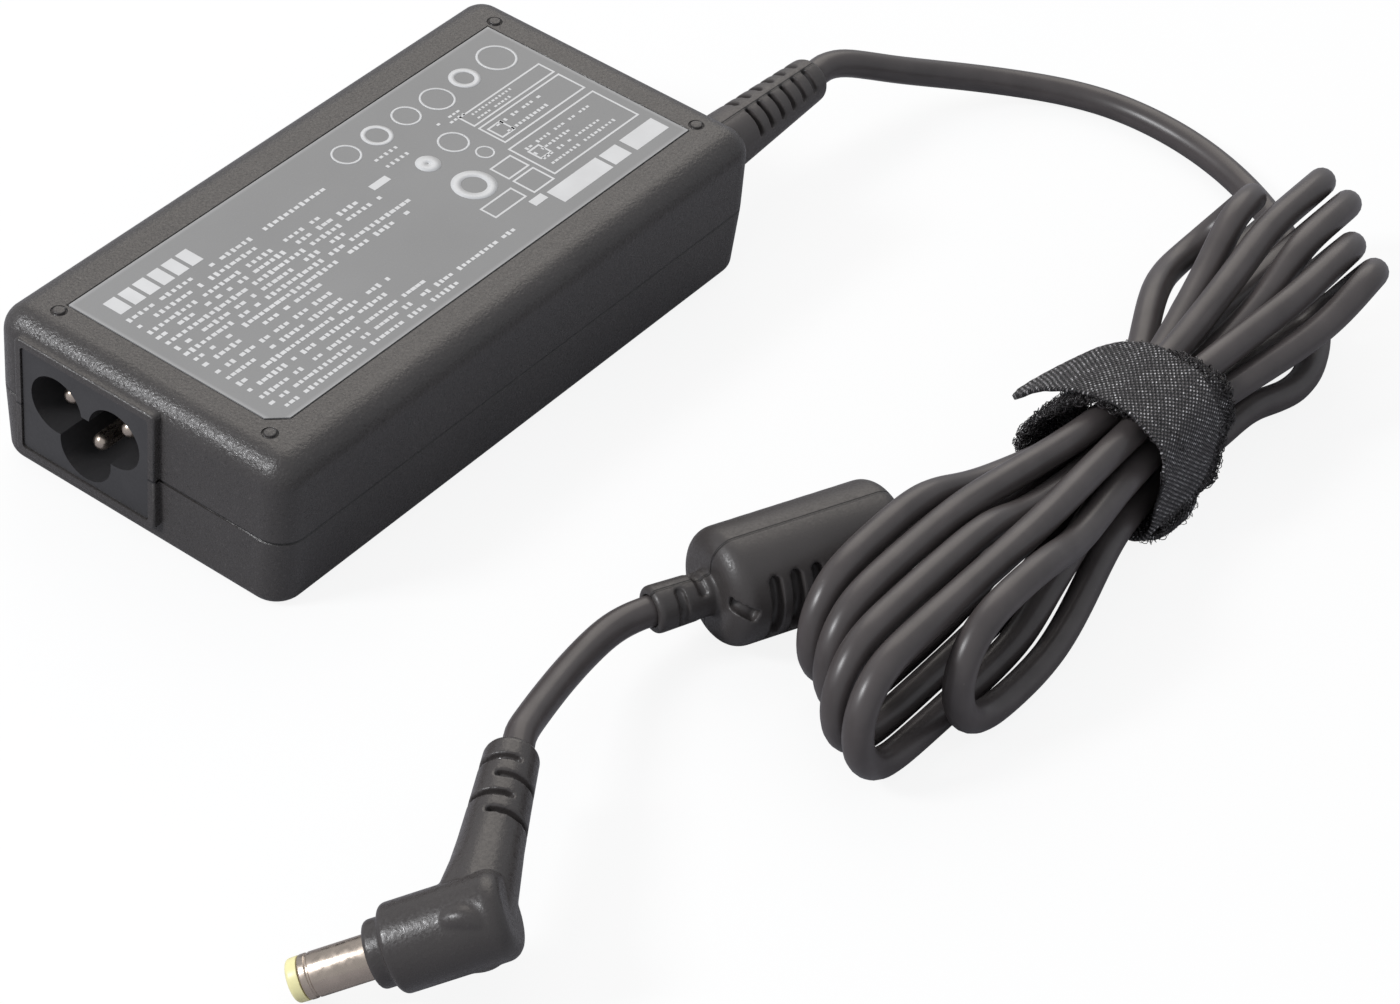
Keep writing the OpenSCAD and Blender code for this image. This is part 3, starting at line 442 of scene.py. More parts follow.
@cache
def marks_tree():
    """Rows of small plain dashes with gaps between them; each row ends at its own length."""
    graph = Graph(
        "rows_of_marks", Length="Float", Width="Float", Columns="Int", Rows="Int",
        Gaps="Float", Mark="Object", Seed="Int", Material="Material",
    )
    node, given = graph.node, graph.given
    seed = given["Seed"]
    grid = node("GeometryNodeMeshGrid", {
        "Size X": given["Length"], "Size Y": given["Width"],
        "Vertices X": given["Columns"], "Vertices Y": given["Rows"],
    })
    chance = node(
        "FunctionNodeRandomValue", {"Probability": given["Gaps"], "Seed": seed},
        data_type="BOOLEAN",
    )
    kept = node("GeometryNodeDeleteGeometry", {0: grid[0], "Selection": chance[3]})
    split = node("ShaderNodeSeparateXYZ", {0: node("GeometryNodeInputPosition")[0]})
    level = node("ShaderNodeMath", {0: split[1], 1: 0.0001}, operation="SNAP")
    row = node("ShaderNodeTexWhiteNoise", {
        "Vector": node("ShaderNodeCombineXYZ", {"X": level[0], "Y": seed})[0],
    })
    share = node("ShaderNodeMath", {0: row["Value"], 1: 0.55, 2: -0.05}, operation="MULTIPLY_ADD")
    reach = node("ShaderNodeMath", {0: share[0], 1: given["Length"]}, operation="MULTIPLY")
    beyond = node("ShaderNodeMath", {0: split[0], 1: reach[0]}, operation="GREATER_THAN")
    trimmed = node("GeometryNodeDeleteGeometry", {0: kept[0], "Selection": beyond[0]})
    mark = node("GeometryNodeObjectInfo", {"Object": given["Mark"]})
    wide = node(
        "FunctionNodeRandomValue", {0: (0.75, 0.9, 1), 1: (1.15, 1, 1), "Seed": seed},
        data_type="FLOAT_VECTOR",
    )
    quarter = node("FunctionNodeRandomValue", {4: 0, 5: 3, "Seed": seed}, data_type="INT")
    angle = node("ShaderNodeMath", {0: quarter[2], 1: math.pi / 2}, operation="MULTIPLY")
    turn = node("ShaderNodeCombineXYZ", {"Z": angle[0]})
    return graph.spread(trimmed[0], mark["Geometry"], Rotation=turn[0], Scale=wide[0])


# ---------------------------------------------------------------- materials

class Surface:
    """A procedural finish built on one Principled shader."""

    def __init__(self, name, base, rough, metal=0.0, specular=0.5, coat=0.0):
        self.material = bpy.data.materials.new(name)
        self.material.use_nodes = True
        self.material.diffuse_color = (*base, 1.0)
        self.tree = self.material.node_tree
        self.shader = self.tree.nodes["Principled BSDF"].inputs
        self.base = base
        self.paint = (*base, 1.0)
        self.relief = {}
        for name, value in (
            ("Base Color", self.paint), ("Roughness", rough), ("Metallic", metal),
            ("Specular IOR Level", specular), ("Coat Weight", coat), ("Coat Roughness", 0.25),
        ):
            self.shader[name].default_value = value

    def node(self, kind, sources=(), **settings):
        return add_node(self.tree, kind, sources, **settings)

    def where(self, kind="Object", at=(0, 0, 0), turn=0.0, stretch=(1, 1, 1)):
        """Coordinates in metres: moved to a point in mm, turned about Z, stretched."""
        return self.node("ShaderNodeMapping", {
            "Vector": self.node("ShaderNodeTexCoord")[kind],
            "Location": [c * MM for c in at],
            "Rotation": (0, 0, math.radians(turn)),
            "Scale": stretch,
        }, vector_type="TEXTURE")[0]

    def noise(self, size, detail=2.0, where=None, roughness=0.5):
        return self.node("ShaderNodeTexNoise", {
            "Vector": where or self.where(), "Scale": 1.0 / (size * MM), "Detail": detail,
            "Roughness": roughness,
        })["Fac"]

    def cells(self, size, where=None, feature="F1", output="Distance"):
        return self.node("ShaderNodeTexVoronoi", {
            "Vector": where or self.where(), "Scale": 1.0 / (size * MM),
        }, feature=feature)[output]

    def math(self, what, a, b=0.0):
        return self.node("ShaderNodeMath", {0: a, 1: b}, operation=what)[0]

    def span(self, value, low, high, to_low=0.0, to_high=1.0):
        return self.node("ShaderNodeMapRange", {
            "Value": value, "From Min": low, "From Max": high, "To Min": to_low,
            "To Max": to_high,
        }, clamp=True)[0]

    def axes(self, where):
        return tuple(self.node("ShaderNodeSeparateXYZ", {0: where}))

    def wave(self, value, pitch):
        """From -1 to 1 and back, once each pitch in mm."""
        return self.math("SINE", self.math("MULTIPLY", value, 2 * math.pi / (pitch * MM)))

    def tint(self, amount, other):
        """Mixes another colour into the paint, by an amount from 0 to 1."""
        self.paint = self.node(
            "ShaderNodeMix", {0: amount, 6: self.paint, 7: (*other, 1.0)}, data_type="RGBA"
        )[2]
        self.tree.links.new(self.paint, self.shader["Base Color"])

    def mottle(self, size, depth, detail=3.0, where=None):
        """Slow lightening and darkening over patches of a size in mm."""
        patch = self.noise(size, detail, where)
        for edge, share in ((0.75, 1 + depth), (0.25, 1 - depth)):
            self.tint(self.span(patch, 0.5, edge), [min(1, c * share) for c in self.base])

    def rough(self, value, low, high):
        self.tree.links.new(self.span(value, 0.3, 0.7, low, high), self.shader["Roughness"])

    def bump(self, value, height, strength=1.0):
        """Relief of a height in mm, over the relief that there is."""
        made = self.node("ShaderNodeBump", {
            "Height": value, "Strength": strength, "Distance": height * MM, **self.relief,
        })[0]
        self.relief = {"Normal": made}
        self.tree.links.new(made, self.shader["Normal"])


def plain_finish(name, base, rough, metal=0.0, grain=0.3, height=0.01, patch=6.0,
                 depth=0.12, spread=0.06, coat=0.0, stretch=(1, 1, 1), specular=0.5):
    """Colour that wanders a little, roughness that follows its grain, and the grain in relief."""
    made = Surface(name, base, rough, metal, specular, coat)
    made.mottle(patch, depth)
    fine = made.noise(grain, 3.0, made.where(stretch=stretch))
    made.rough(fine, rough - spread, rough + spread)
    made.bump(fine, height)
    return made


def case_finish(name, base):
    """Spark-eroded plastic: a close grain that glints one grain at a time, and a painted shadow
    along the seam.
    """
    look = bpy.context.scene.adapter_casing
    made = Surface(name, base, 0.36, specular=0.5)
    made.mottle(14.0, 0.08)
    grain = made.noise(look.grain, 3.0, roughness=0.6)
    pits = made.cells(look.grain * 1.1)
    made.tint(made.span(grain, 0.60, 0.76, 0.0, 0.5), [min(1, c * 2.4) for c in base])
    made.tint(made.span(grain, 0.42, 0.26, 0.0, 0.6), [c * 0.4 for c in base])
    made.rough(made.noise(look.grain * 0.7, 1.0), 0.18, 0.46)
    made.bump(grain, 0.11, 1.0)
    made.bump(pits, 0.03, 0.5)
    # Painted shade: a dark line at the seam's height stands in for the shadow in the groove between
    # the covers.
    _, _, z = made.axes(made.where())
    seam = made.math("ABSOLUTE", made.math("SUBTRACT", z, SEAM_Z * MM))
    made.tint(made.span(seam, 0.00021, 0.00014, 0.0, 0.85), [c * 0.12 for c in base])
    return made


def moulding_finish(name, base, rough=0.44, grain=0.38, height=0.03, painted_glint=0.35, parting=None):
    """Soft moulding with a sand-blasted skin. glint is how far single grains are painted lighter,
    as painted highlights, and parting the place and turn of the upright plane where the mould's
    halves met."""
    made = Surface(name, base, rough, specular=0.5)
    made.mottle(9.0, 0.12)
    fine = made.noise(grain, 3.0, roughness=0.6)
    # Painted highlight: single grains are painted lighter to stand in for glints of light.
    made.tint(made.span(fine, 0.64, 0.80, 0.0, painted_glint), [min(1, c * 1.8) for c in base])
    made.rough(made.noise(grain * 0.8, 1.0), rough - 0.12, rough + 0.1)
    made.bump(fine, height, 0.8)
    if parting:
        _, across, _ = made.axes(made.where(at=parting[0], turn=parting[1]))
        line = made.span(made.math("ABSOLUTE", across), 0.00024, 0.00008, 0.0, 1.0)
        made.tint(made.math("MULTIPLY", line, 0.75), [c * 0.25 for c in base])
        made.bump(made.math("SUBTRACT", 1.0, line), 0.12, 1.0)
    return made


def cord_finish(name, base):
    """Extruded jacket, drawn out lengthways and a little dusty."""
    made = Surface(name, base, 0.38, specular=0.5)
    along = made.where("UV", stretch=(8, 1, 1))
    made.mottle(5.0, 0.16, where=made.where("UV"))
    made.rough(made.noise(1.6, 3.0, along), 0.28, 0.40)
    made.bump(made.noise(0.9, 3.0, along), 0.010, 0.6)
    made.bump(made.noise(0.25, 2.0, made.where("UV")), 0.004, 0.6)
    dust = made.cells(2.6, made.where("UV"))
    made.tint(made.span(dust, 0.055, 0.035, 0.0, 0.5), (0.12, 0.11, 0.10))
    return made


def strap_finish(name, base, rib):
    """Woven nylon: ribs along the strap and picks across them, with painted shade in the hollows of
    the weave, painted highlights on the thread crowns and painted glints at the crossings.
    """
    made = Surface(name, base, 0.4, specular=0.6)
    uv = made.where("UV")
    u, v, _ = made.axes(uv)
    warp, weft = made.wave(v, rib), made.wave(u, rib * 0.8)
    over = made.math("MULTIPLY", warp, weft)
    strands = made.wave(made.math("ADD", u, made.math("MULTIPLY", v, 0.6)), rib * 0.27)
    made.mottle(4.0, 0.4, where=uv)
    # Painted shade: the low parts of the weave are darkened as if shade fell between the threads.
    made.tint(made.span(over, -0.2, -0.8, 0.0, 0.8), (0.004, 0.004, 0.004))
    # Painted highlight: the thread crowns are lightened as if lit.
    crown_highlight = made.span(over, 0.28, 0.78, 0.0, 0.85)
    made.tint(crown_highlight, (0.21, 0.192, 0.198))
    # Painted glints: crowns in some cells and patches are painted near white, below.
    patchy = made.noise(rib * 1.3, 2.0, uv)
    twinkle = made.span(made.cells(rib * 0.9, uv, output="Color"), 0.38, 0.66, 0.0, 1.0)
    made.tint(
        made.math("MULTIPLY", made.math("MULTIPLY", crown_highlight, twinkle), made.span(patchy, 0.38, 0.56)),
        (0.95, 0.93, 0.95),
    )
    made.rough(made.noise(0.5, 2.0, uv), 0.22, 0.5)
    made.bump(over, 0.16, 1.0)
    made.bump(strands, 0.03, 0.8)
    made.bump(made.noise(0.16, 2.0, uv), 0.02, 0.6)
    return made


def board_finish(name, base):
    """Solder mask over copper tracks."""
    made = plain_finish(name, base, 0.34, grain=0.5, height=0.004, coat=0.4)
    tracks = made.cells(5.5, feature="DISTANCE_TO_EDGE")
    line = made.span(tracks, 0.10, 0.06, 0.0, 0.8)
    made.tint(line, (0.10, 0.26, 0.08))
    made.bump(line, 0.035)
    return made


def wound_finish(name, base, pitch):
    """Enamelled wire laid turn by turn."""
    made = Surface(name, base, 0.3, metal=0.85, coat=0.5)
    x, _, z = made.axes(made.where())
    turns = made.wave(made.math("ADD", z, made.math("MULTIPLY", x, 0.15)), pitch)
    made.mottle(3.0, 0.2)
    made.rough(made.noise(0.6), 0.24, 0.4)
    made.bump(turns, 0.09)
    return made


def contact_finish(name, base):
    """Bright nickel plate, drawn and lightly handled."""
    made = Surface(name, base, 0.28, metal=1.0)
    made.mottle(2.5, 0.1)
    made.rough(made.noise(0.7, 4.0), 0.20, 0.38)
    made.bump(made.noise(0.12, 2.0), 0.0012)
    made.bump(made.noise(1.8, 2.0), 0.006)
    return made


def label_finish(name, base):
    """Matt printed film with a fine stipple and a slightly worn rim."""
    made = Surface(name, base, 0.5)
    made.mottle(20.0, 0.05)
    stipple = made.noise(0.22, 3.0)
    made.tint(made.span(stipple, 0.58, 0.75, 0.0, 0.35), [c * 1.35 for c in base])
    made.tint(made.span(stipple, 0.42, 0.25, 0.0, 0.35), [c * 0.7 for c in base])
    made.rough(stipple, 0.42, 0.6)
    made.bump(stipple, 0.012, 0.7)
    low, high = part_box("rating_label")
    x, y, _ = made.axes(made.where(at=[(a + b) * 500 for a, b in zip(low, high)]))
    for value, half in ((x, (high[0] - low[0]) / 2), (y, (high[1] - low[1]) / 2)):
        rim = made.span(made.math("ABSOLUTE", value), half - 0.0006, half - 0.0001, 0.0, 0.5)
        made.tint(rim, (0.42, 0.42, 0.42))
    return made


# Painted light: the boot is the same rubber as the other mouldings, lightened by this factor to
# stand in for the stronger light that falls on it.
BOOT_PAINTED_LIGHT = 1.3


def finishes():
    """One finish for each of the record's material slots."""
    casing = bpy.context.scene.adapter_casing
    lead = bpy.context.scene.adapter_lead
    strap = bpy.context.scene.adapter_strap
    soft = bpy.context.scene.adapter_mouldings
    return {
        "case": case_finish("case_plastic", casing.shell),
        "label": label_finish("label_film", casing.label),
        "ink": plain_finish("label_ink", casing.ink, 0.5, grain=0.2, height=0.003, depth=0.06),
        "inlet": plain_finish(
            "inlet_nylon", (0.036, 0.035, 0.036), 0.38, grain=0.45, height=0.02, patch=4.0
        ),
        "contact": contact_finish("nickel_plate", soft.nickel),
        "wire": plain_finish("wire_sleeve", (0.05, 0.05, 0.07), 0.4, grain=0.4, height=0.006),
        "board": board_finish("solder_mask", (0.035, 0.13, 0.05)),
        "moulded": plain_finish(
            "moulded_epoxy", (0.03, 0.03, 0.032), 0.55, grain=0.15, height=0.012
        ),
        "coated": plain_finish(
            "dipped_coating", (0.05, 0.16, 0.42), 0.32, grain=1.2, height=0.05, coat=0.3
        ),
        "box_film": plain_finish(
            "capacitor_box", (0.72, 0.50, 0.06), 0.42, grain=0.6, height=0.01
        ),
        "ferrite": plain_finish(
            "sintered_ferrite", (0.045, 0.045, 0.05), 0.62, grain=0.25, height=0.03,
            patch=3.0, depth=0.25,
        ),
        "copper": wound_finish("enamelled_copper", (0.60, 0.25, 0.09), 0.55),
        "can_sleeve": plain_finish(
            "can_sleeve", (0.02, 0.03, 0.10), 0.3, grain=2.0, height=0.02, coat=0.4
        ),
        "heat_sink": plain_finish(
            "rolled_aluminium", (0.62, 0.63, 0.65), 0.34, metal=1.0, grain=0.3,
            height=0.006, stretch=(12, 1, 1),
        ),
        "tape": plain_finish(
            "polyester_tape", (0.72, 0.56, 0.10), 0.28, grain=2.5, height=0.04, coat=0.5
        ),
        "bobbin": plain_finish("phenolic_bobbin", (0.05, 0.035, 0.03), 0.45, grain=0.4),
        "film": plain_finish(
            "insulating_film", (0.50, 0.50, 0.48), 0.3, grain=3.0, height=0.05, coat=0.4
        ),
        "pad": plain_finish("silicone_pad", (0.42, 0.46, 0.52), 0.7, grain=0.3, height=0.02),
        "moulding": moulding_finish("moulded_rubber", soft.rubber),
        # Painted light: the same rubber made lighter for the boot.
        "boot_moulding": moulding_finish(
            "boot_rubber", [c * BOOT_PAINTED_LIGHT for c in soft.rubber], parting=((50, -15.6, 13), 0)
        ),
        "ferrite_moulding": moulding_finish(
            "jacket_rubber", soft.rubber, parting=(FERRITE_AT, FERRITE_TURN)
        ),
        # Its last number paints single grains strongly lighter, a painted highlight.
        "plug_moulding": moulding_finish("grained_rubber", soft.rubber, 0.33, 0.55, 0.06, 0.8),
        "cord": cord_finish("lead_jacket", lead.jacket),
        "strap": strap_finish("woven_strap", strap.nylon, strap.rib),
        "pile": plain_finish(
            "strap_pile", (0.035, 0.031, 0.032), 0.26, grain=0.4, height=0.004, patch=0.9,
            depth=0.8, specular=0.7,
        ),
        "tip_ring": plain_finish(
            "tip_insulator", soft.tip, 0.36, grain=0.5, height=0.006, depth=0.05
        ),
    }


def painted(obj, slot, body="root"):
    """Gives a piece the finish of a slot and the body that it rides on."""
    obj.data.materials.clear()
    obj.data.materials.append(SLOTS[slot].material)
    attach(obj, body)
    return obj


# ---------------------------------------------------------------- the lead's way
# Sizes and places are in millimetres, from the middle of the case's underside.

CORD_D = 4.1
CORD_Z = CORD_D / 2 + 0.05
WAIST_X, WAIST_Y = 45.0, -91.8
LOOPS = 5
FOLD_R = 8.2
RUN_PITCH, RIGHT_PITCH = 4.7, 5.4
RIGHT_TIPS = (91, 94, 102, 104, 94)
LEFT_TIPS = (-13, -28, -26, -21, -18)
RIGHT_Y, LEFT_Y = 4.9, -1.7
RIGHT_LEAN, LEFT_LEAN = -8.2, 2.0
WAIST_HALF, SPREAD = 9.0, 30.0
RUN_PLACES = (-38, -28.5, -9, 9, 28.5, 38)
FOLD_POINTS = 6
STRAP_LIFT, CROSS_LIFT = 1.9, CORD_D + 0.45
WAIST_STEP = RUN_PITCH / 2
LAYER = WAIST_STEP * math.sqrt(3)
WAIST_RISE = 3 * LAYER

BOOT_ROOT, BOOT_END = (50.0, -15.0, 13.0), (78.0, -15.0, 13.0)
BORE_R = CORD_D / 2 + 0.07
YARN_R = 0.07
FERRITE_AT, FERRITE_TURN, FERRITE_HALF = (-4.0, -72.8, 8.0), -23.5, 22.1
PLUG_DIP, PLUG_TURN, PLUG_REACH, BARREL_R = 25, 132, 23.2, 2.75
PLUG_Z = (
    PLUG_REACH * math.sin(math.radians(PLUG_DIP)) + BARREL_R * math.cos(math.radians(PLUG_DIP))
    + 0.05
)
PLUG_AT, NECK_TURN, NECK_L = (-83.4, -83.9, PLUG_Z), 29.5, 28
LEAD_ROUTE_IN = (
    BOOT_END, (82.1, -15, 13), (86, -16.2, 12.2), (91, -19.2, 10), (97, -22.2, 7.6),
    (104, -26, 5), (110, -31, 3.2), (114.5, -37, 2.3), (117, -44, CORD_Z),
    (117.5, -52, CORD_Z), (116.5, -60, CORD_Z), (114, -68, CORD_Z), (110, -76, CORD_Z),
    (105, -83, CORD_Z), (99, -89.5, CORD_Z), (92, -95, CORD_Z), (84, -99, CORD_Z),
    (76, -100.2, CORD_Z + 0.5),
)
LEAD_ROUTE_OUT = ((-35.1, -62.7, 8.2), (-42.6, -64.3, 9.6), (-49.6, -66.3, 11.2))


def eased(t):
    c = min(max(t, 0.0), 1.0)
    return c * c * (3 - 2 * c)


def opened(x):
    """How far, from 0 at the waist to 1 at the ends, the hank has opened."""
    return eased((abs(x - WAIST_X) - WAIST_HALF) / SPREAD)


def blended(a, b, t):
    return a + (b - a) * t


def hank_point(x, lane, side, nest):
    """A point of the hank: its lane, its height from -1 to 1, and 1 in an inner layer."""
    wide = opened(x)
    right = x > WAIST_X
    lean = RIGHT_LEAN if right else LEFT_LEAN
    pitch = blended(WAIST_STEP, RIGHT_PITCH if right else RUN_PITCH, wide)
    rise = blended(WAIST_RISE, math.sqrt((2 * FOLD_R) ** 2 - lean ** 2), wide)
    low = CORD_Z + blended(STRAP_LIFT, CROSS_LIFT if right else 0.0, wide)
    return Vector((
        x,
        WAIST_Y + (RIGHT_Y if right else LEFT_Y) * wide + (lane - LOOPS / 2) * pitch
        + lean * wide * (side + 1) / 2,
        low + rise * (side + 1) / 2 - side * nest * LAYER * (1 - wide ** 4),
    ))


def low_run(i, places):
    out = []
    for d in places:
        x = WAIST_X - d
        climb = opened(x) * (1 if x > WAIST_X else -1)
        out.append(hank_point(x, i - 0.25 * climb, -1, i % 2))
    return out


def high_run(i):
    out = []
    for d in RUN_PLACES:
        x = WAIST_X + d
        out.append(hank_point(x, i + (0.75 if d > 0 else 0.25) * opened(x), 1, 1 - i % 2))
    return out


def fold(i, right):
    out = []
    for k in range(FOLD_POINTS):
        a = math.pi * (k / (FOLD_POINTS - 1) - 0.5) * (-1 if right else 1)
        if right:
            at = hank_point(RIGHT_TIPS[i] - FOLD_R, i + 0.75, math.sin(a), 0)
            out.append(at + Vector((FOLD_R * math.cos(a), 0, 0)))
        else:
            at = hank_point(LEFT_TIPS[i] + FOLD_R, i + 0.25, math.sin(a), 0)
            out.append(at - Vector((FOLD_R * math.cos(a), 0, 0)))
    return out


def lead_points():
    """The lead's points from the strain relief through the hank and ferrite to the plug."""
    step = Vector((CORD_D, 0, 0))
    start = hank_point(WAIST_X + 18, 0, -1, 0)
    end = hank_point(WAIST_X - 12, LOOPS, -1, LOOPS % 2)
    route = [Vector(p) for p in LEAD_ROUTE_IN]
    route += [start + step, start, start - step]
    route += low_run(0, [d for d in RUN_PLACES if d > -10])
    for i in range(LOOPS):
        route += fold(i, False) + high_run(i) + fold(i, True)
        last = i == LOOPS - 1
        route += low_run(i + 1, [d for d in RUN_PLACES if d < 0 or not last])
    along = direction(FERRITE_TURN)
    middle = Vector(FERRITE_AT)
    route += [end + step, end, end - step]
    route += [middle + along * (FERRITE_HALF + CORD_D), middle + along * FERRITE_HALF]
    route += [middle, middle - along * FERRITE_HALF, middle - along * (FERRITE_HALF + CORD_D)]
    route += [Vector(p) for p in LEAD_ROUTE_OUT]
    neck = direction(NECK_TURN)
    neck_end = Vector(PLUG_AT) + neck * NECK_L
    return route + [neck_end + neck * CORD_D, neck_end]


def direction(turn):
    return Vector((math.cos(math.radians(turn)), math.sin(math.radians(turn)), 0))


def steps_along(line):
    return np.linalg.norm(np.diff(line, axis=0), axis=1)


def lengths_along(line):
    """How far along a line each of its points lies."""
    return np.concatenate([[0], np.cumsum(steps_along(line))])


def smooth_line(points, step, measured=3, samples=14):
    """A smooth curve through points, with its own points a step apart. The step is measured
    in the first values of each point only, as many as measured says."""
    p = [np.array(q, float) for q in points]
    fine = []
    for i in range(len(p) - 1):
        a, b, c, d = p[max(i - 1, 0)], p[i], p[i + 1], p[min(i + 2, len(p) - 1)]
        for k in range(samples):
            t = k / samples
            fine.append(0.5 * (
                2 * b + (c - a) * t + (2 * a - 5 * b + 4 * c - d) * t * t
                + (3 * b - a - 3 * c + d) * t ** 3
            ))
    fine = np.array(fine + [p[-1]])
    far = lengths_along(fine[:, :measured])
    at = np.linspace(0, far[-1], int(round(far[-1] / step)) + 1)
    return np.stack([np.interp(at, far, column) for column in fine.T], axis=1)


def relaxed(line, step, reach=3.2, ramp=9.0):
    """Takes the kinks out of an evenly spaced line, leaving its two ends where they are."""
    half = int(3 * reach / step)
    weights = np.exp(-0.5 * (np.arange(-half, half + 1) * step / reach) ** 2)
    weights /= weights.sum()
    wide = np.pad(line, ((half, half), (0, 0)), mode="edge")
    soft = np.stack([np.convolve(wide[:, k], weights, "valid") for k in range(3)], axis=1)
    at = np.arange(len(line)) * step
    free = np.clip(np.minimum(at, at[-1] - at) / ramp - 0.3, 0, 1)[:, None]
    return line + (soft - line) * free


def tube(name, line, radius, sides):
    """A round tube along a line in mm, closed at both ends, its UV in metres along and round."""
    ways = np.gradient(line, axis=0)
    ways /= np.linalg.norm(ways, axis=1)[:, None]
    side = np.cross(ways[0], (0, 0, 1.0))
    side /= np.linalg.norm(side)
    points = []
    for here, way in zip(line, ways):
        side = side - way * side.dot(way)
        side /= np.linalg.norm(side)
        up = np.cross(way, side)
        for k in range(sides):
            a = 2 * math.pi * k / sides
            points.append(here + radius * (math.cos(a) * side + math.sin(a) * up))
    mesh = bpy.data.meshes.new(name)
    mesh.from_pydata([[c * MM for c in p] for p in points], [], capped(len(line), sides))
    along = lengths_along(line) * MM
    around = 2 * math.pi * radius * MM / sides
    uvs = np.zeros((len(mesh.loops), 2))
    n = 0
    for low, high in zip(along, along[1:]):
        for k in range(sides):
            left, right = around * k, around * (k + 1)
            uvs[n:n + 4] = (low, left), (low, right), (high, right), (high, left)
            n += 4
    mesh.uv_layers.new(name="UVMap").data.foreach_set("uv", uvs.ravel())
    mesh.update()
    return smooth_shaded(linked(name, mesh), 60)


# ---------------------------------------------------------------- shared making

def cut(obj, cutter, operation="DIFFERENCE"):
    modifier = obj.modifiers.new("cut", "BOOLEAN")
    modifier.object = cutter
    modifier.operation = operation
    modifier.solver = "EXACT"
    baked(obj)
    discard(cutter)
    return obj


def bored(obj, low, high, radius=BORE_R, place=None):
    """Cuts a round hole along Z between two heights in mm."""
    way = [(0, low), (radius, low), (radius, high), (0, high)]
    return cut(obj, lathe("bore", way, 48, place))


def tidied(obj, least=0.004):
    """Closes up the slivers that a cut leaves, of a size in mm."""
    with edited(obj.data) as bm:
        bmesh.ops.remove_doubles(bm, verts=bm.verts, dist=least * MM)
        bmesh.ops.dissolve_degenerate(bm, edges=bm.edges, dist=least * MM)
    return obj


def moulded(obj, voxel):
    """Remakes a shape in even faces and eases its edges, as a rubber moulding's are."""
    remesh = obj.modifiers.new("even", "REMESH")
    remesh.mode = "VOXEL"
    remesh.voxel_size = voxel * MM
    remesh.use_smooth_shade = True
    ease = obj.modifiers.new("ease", "SMOOTH")
    ease.factor = 0.5
    ease.iterations = 3
    return smooth_shaded(baked(obj))


def stadium_rows(rows):
    """Cutters for rows of slots: (width, r_in, r_out, starts, sweep, count, first z, pitch)."""
    made = []
    for i, (width, r_in, r_out, starts, sweep, count, first, pitch) in enumerate(rows):
        for start in starts:
            slot = slot_cutter(f"slot_{i}_{start}", width, r_in, r_out, start, sweep)
            made.append(grown(slot, row_tree(), Count=count, Start=first * MM, Pitch=pitch * MM))
    return joined(made, "slots")


def round_z(r, degrees, z):
    return r * math.cos(math.radians(degrees)), r * math.sin(math.radians(degrees)), z


def hull(name, spots):
    """The convex hull of points, in metres."""
    out = linked(name, bpy.data.meshes.new(name))
    with edited(out.data) as bm:
        for p in spots:
            bm.verts.new(p)
        bmesh.ops.convex_hull(bm, input=bm.verts)
        loose = [v for v in bm.verts if not v.link_faces]
        bmesh.ops.delete(bm, geom=loose, context="VERTS")
        bmesh.ops.recalc_face_normals(bm, faces=bm.faces)
    return out


def circle_points(place, radius, z, sides=48):
    return [
        place @ (Vector(round_z(radius, 360 * k / sides, z)) * MM) for k in range(sides)
    ]


def ribbon(name, stations, thickness, step, relief=None, waver=0.0):
    """A band of cloth along stations of (y, z, x, half width) in mm."""
    fine = smooth_line(stations, step, 2)
    ways = np.gradient(fine[:, :2], axis=0)
    ways /= np.linalg.norm(ways, axis=1)[:, None]
    outs = np.stack([ways[:, 1], -ways[:, 0]], axis=1)
    middle = len(fine) // 2
    if outs[middle].dot(fine[middle, :2] - np.array((WAIST_Y, 10.0))) < 0:
        outs = -outs
    across = int(round(2 * max(fine[:, 3]) / step))
    far = lengths_along(fine[:, :3])
    points, uvs = [], []
    for side in (1, -1):
        for i, (y, z, x, half) in enumerate(fine):
            for k in range(across + 1):
                s = 2 * k / across - 1
                v = s * half
                rim = max(0.0, (abs(s) - 0.94) / 0.06)
                lift = side * thickness / 2 * math.sqrt(max(0.12, 1 - rim * rim))
                if relief and side > 0:
                    lift += relief(far[i], v) * (1 - rim)
                lift += waver * math.sin(far[i] * 0.55 + 2.1 * s) * abs(s) ** 2
                edge = waver * (math.sin(far[i] * 0.9) + 0.5 * math.sin(far[i] * 2.3 + 1)) * s
                points.append((x + v + edge, y + outs[i][0] * lift, z + outs[i][1] * lift))
                uvs.append((far[i] * MM, v * MM))
    rows, n = len(fine), across + 1
    faces = []
    for i in range(rows - 1):
        for k in range(across):
            a = i * n + k
            faces.append((a, a + 1, a + n + 1, a + n))
            b = a + rows * n
            faces.append((b, b + n, b + n + 1, b + 1))
    rim = [i * n for i in range(rows)] + [(rows - 1) * n + k for k in range(1, n)]
    rim += [i * n + n - 1 for i in range(rows - 2, -1, -1)] + list(range(n - 2, 0, -1))
    for a, b in zip(rim, rim[1:] + rim[:1]):
        faces.append((a, b, b + rows * n, a + rows * n))
    obj = piece(name, points, faces, uvs)
    with edited(obj.data) as bm:
        bmesh.ops.recalc_face_normals(bm, faces=bm.faces)
    return smooth_shaded(obj, 70)


def flat_size(stations):
    """Width and length of a strip before it was folded, and its area, in metres."""
    fine = smooth_line(stations, 0.2, 2)
    steps = steps_along(fine[:, :3])
    wide = fine[1:, 3] + fine[:-1, 3]
    return (wide.max() * MM, steps.sum() * MM), float((wide * steps).sum()) * MM * MM


def keep_above(obj, floor):
    """Lifts what would lie under the surface, in mm."""
    for vertex in obj.data.vertices:
        vertex.co.z = max(vertex.co.z, floor * MM)
    obj.data.update()


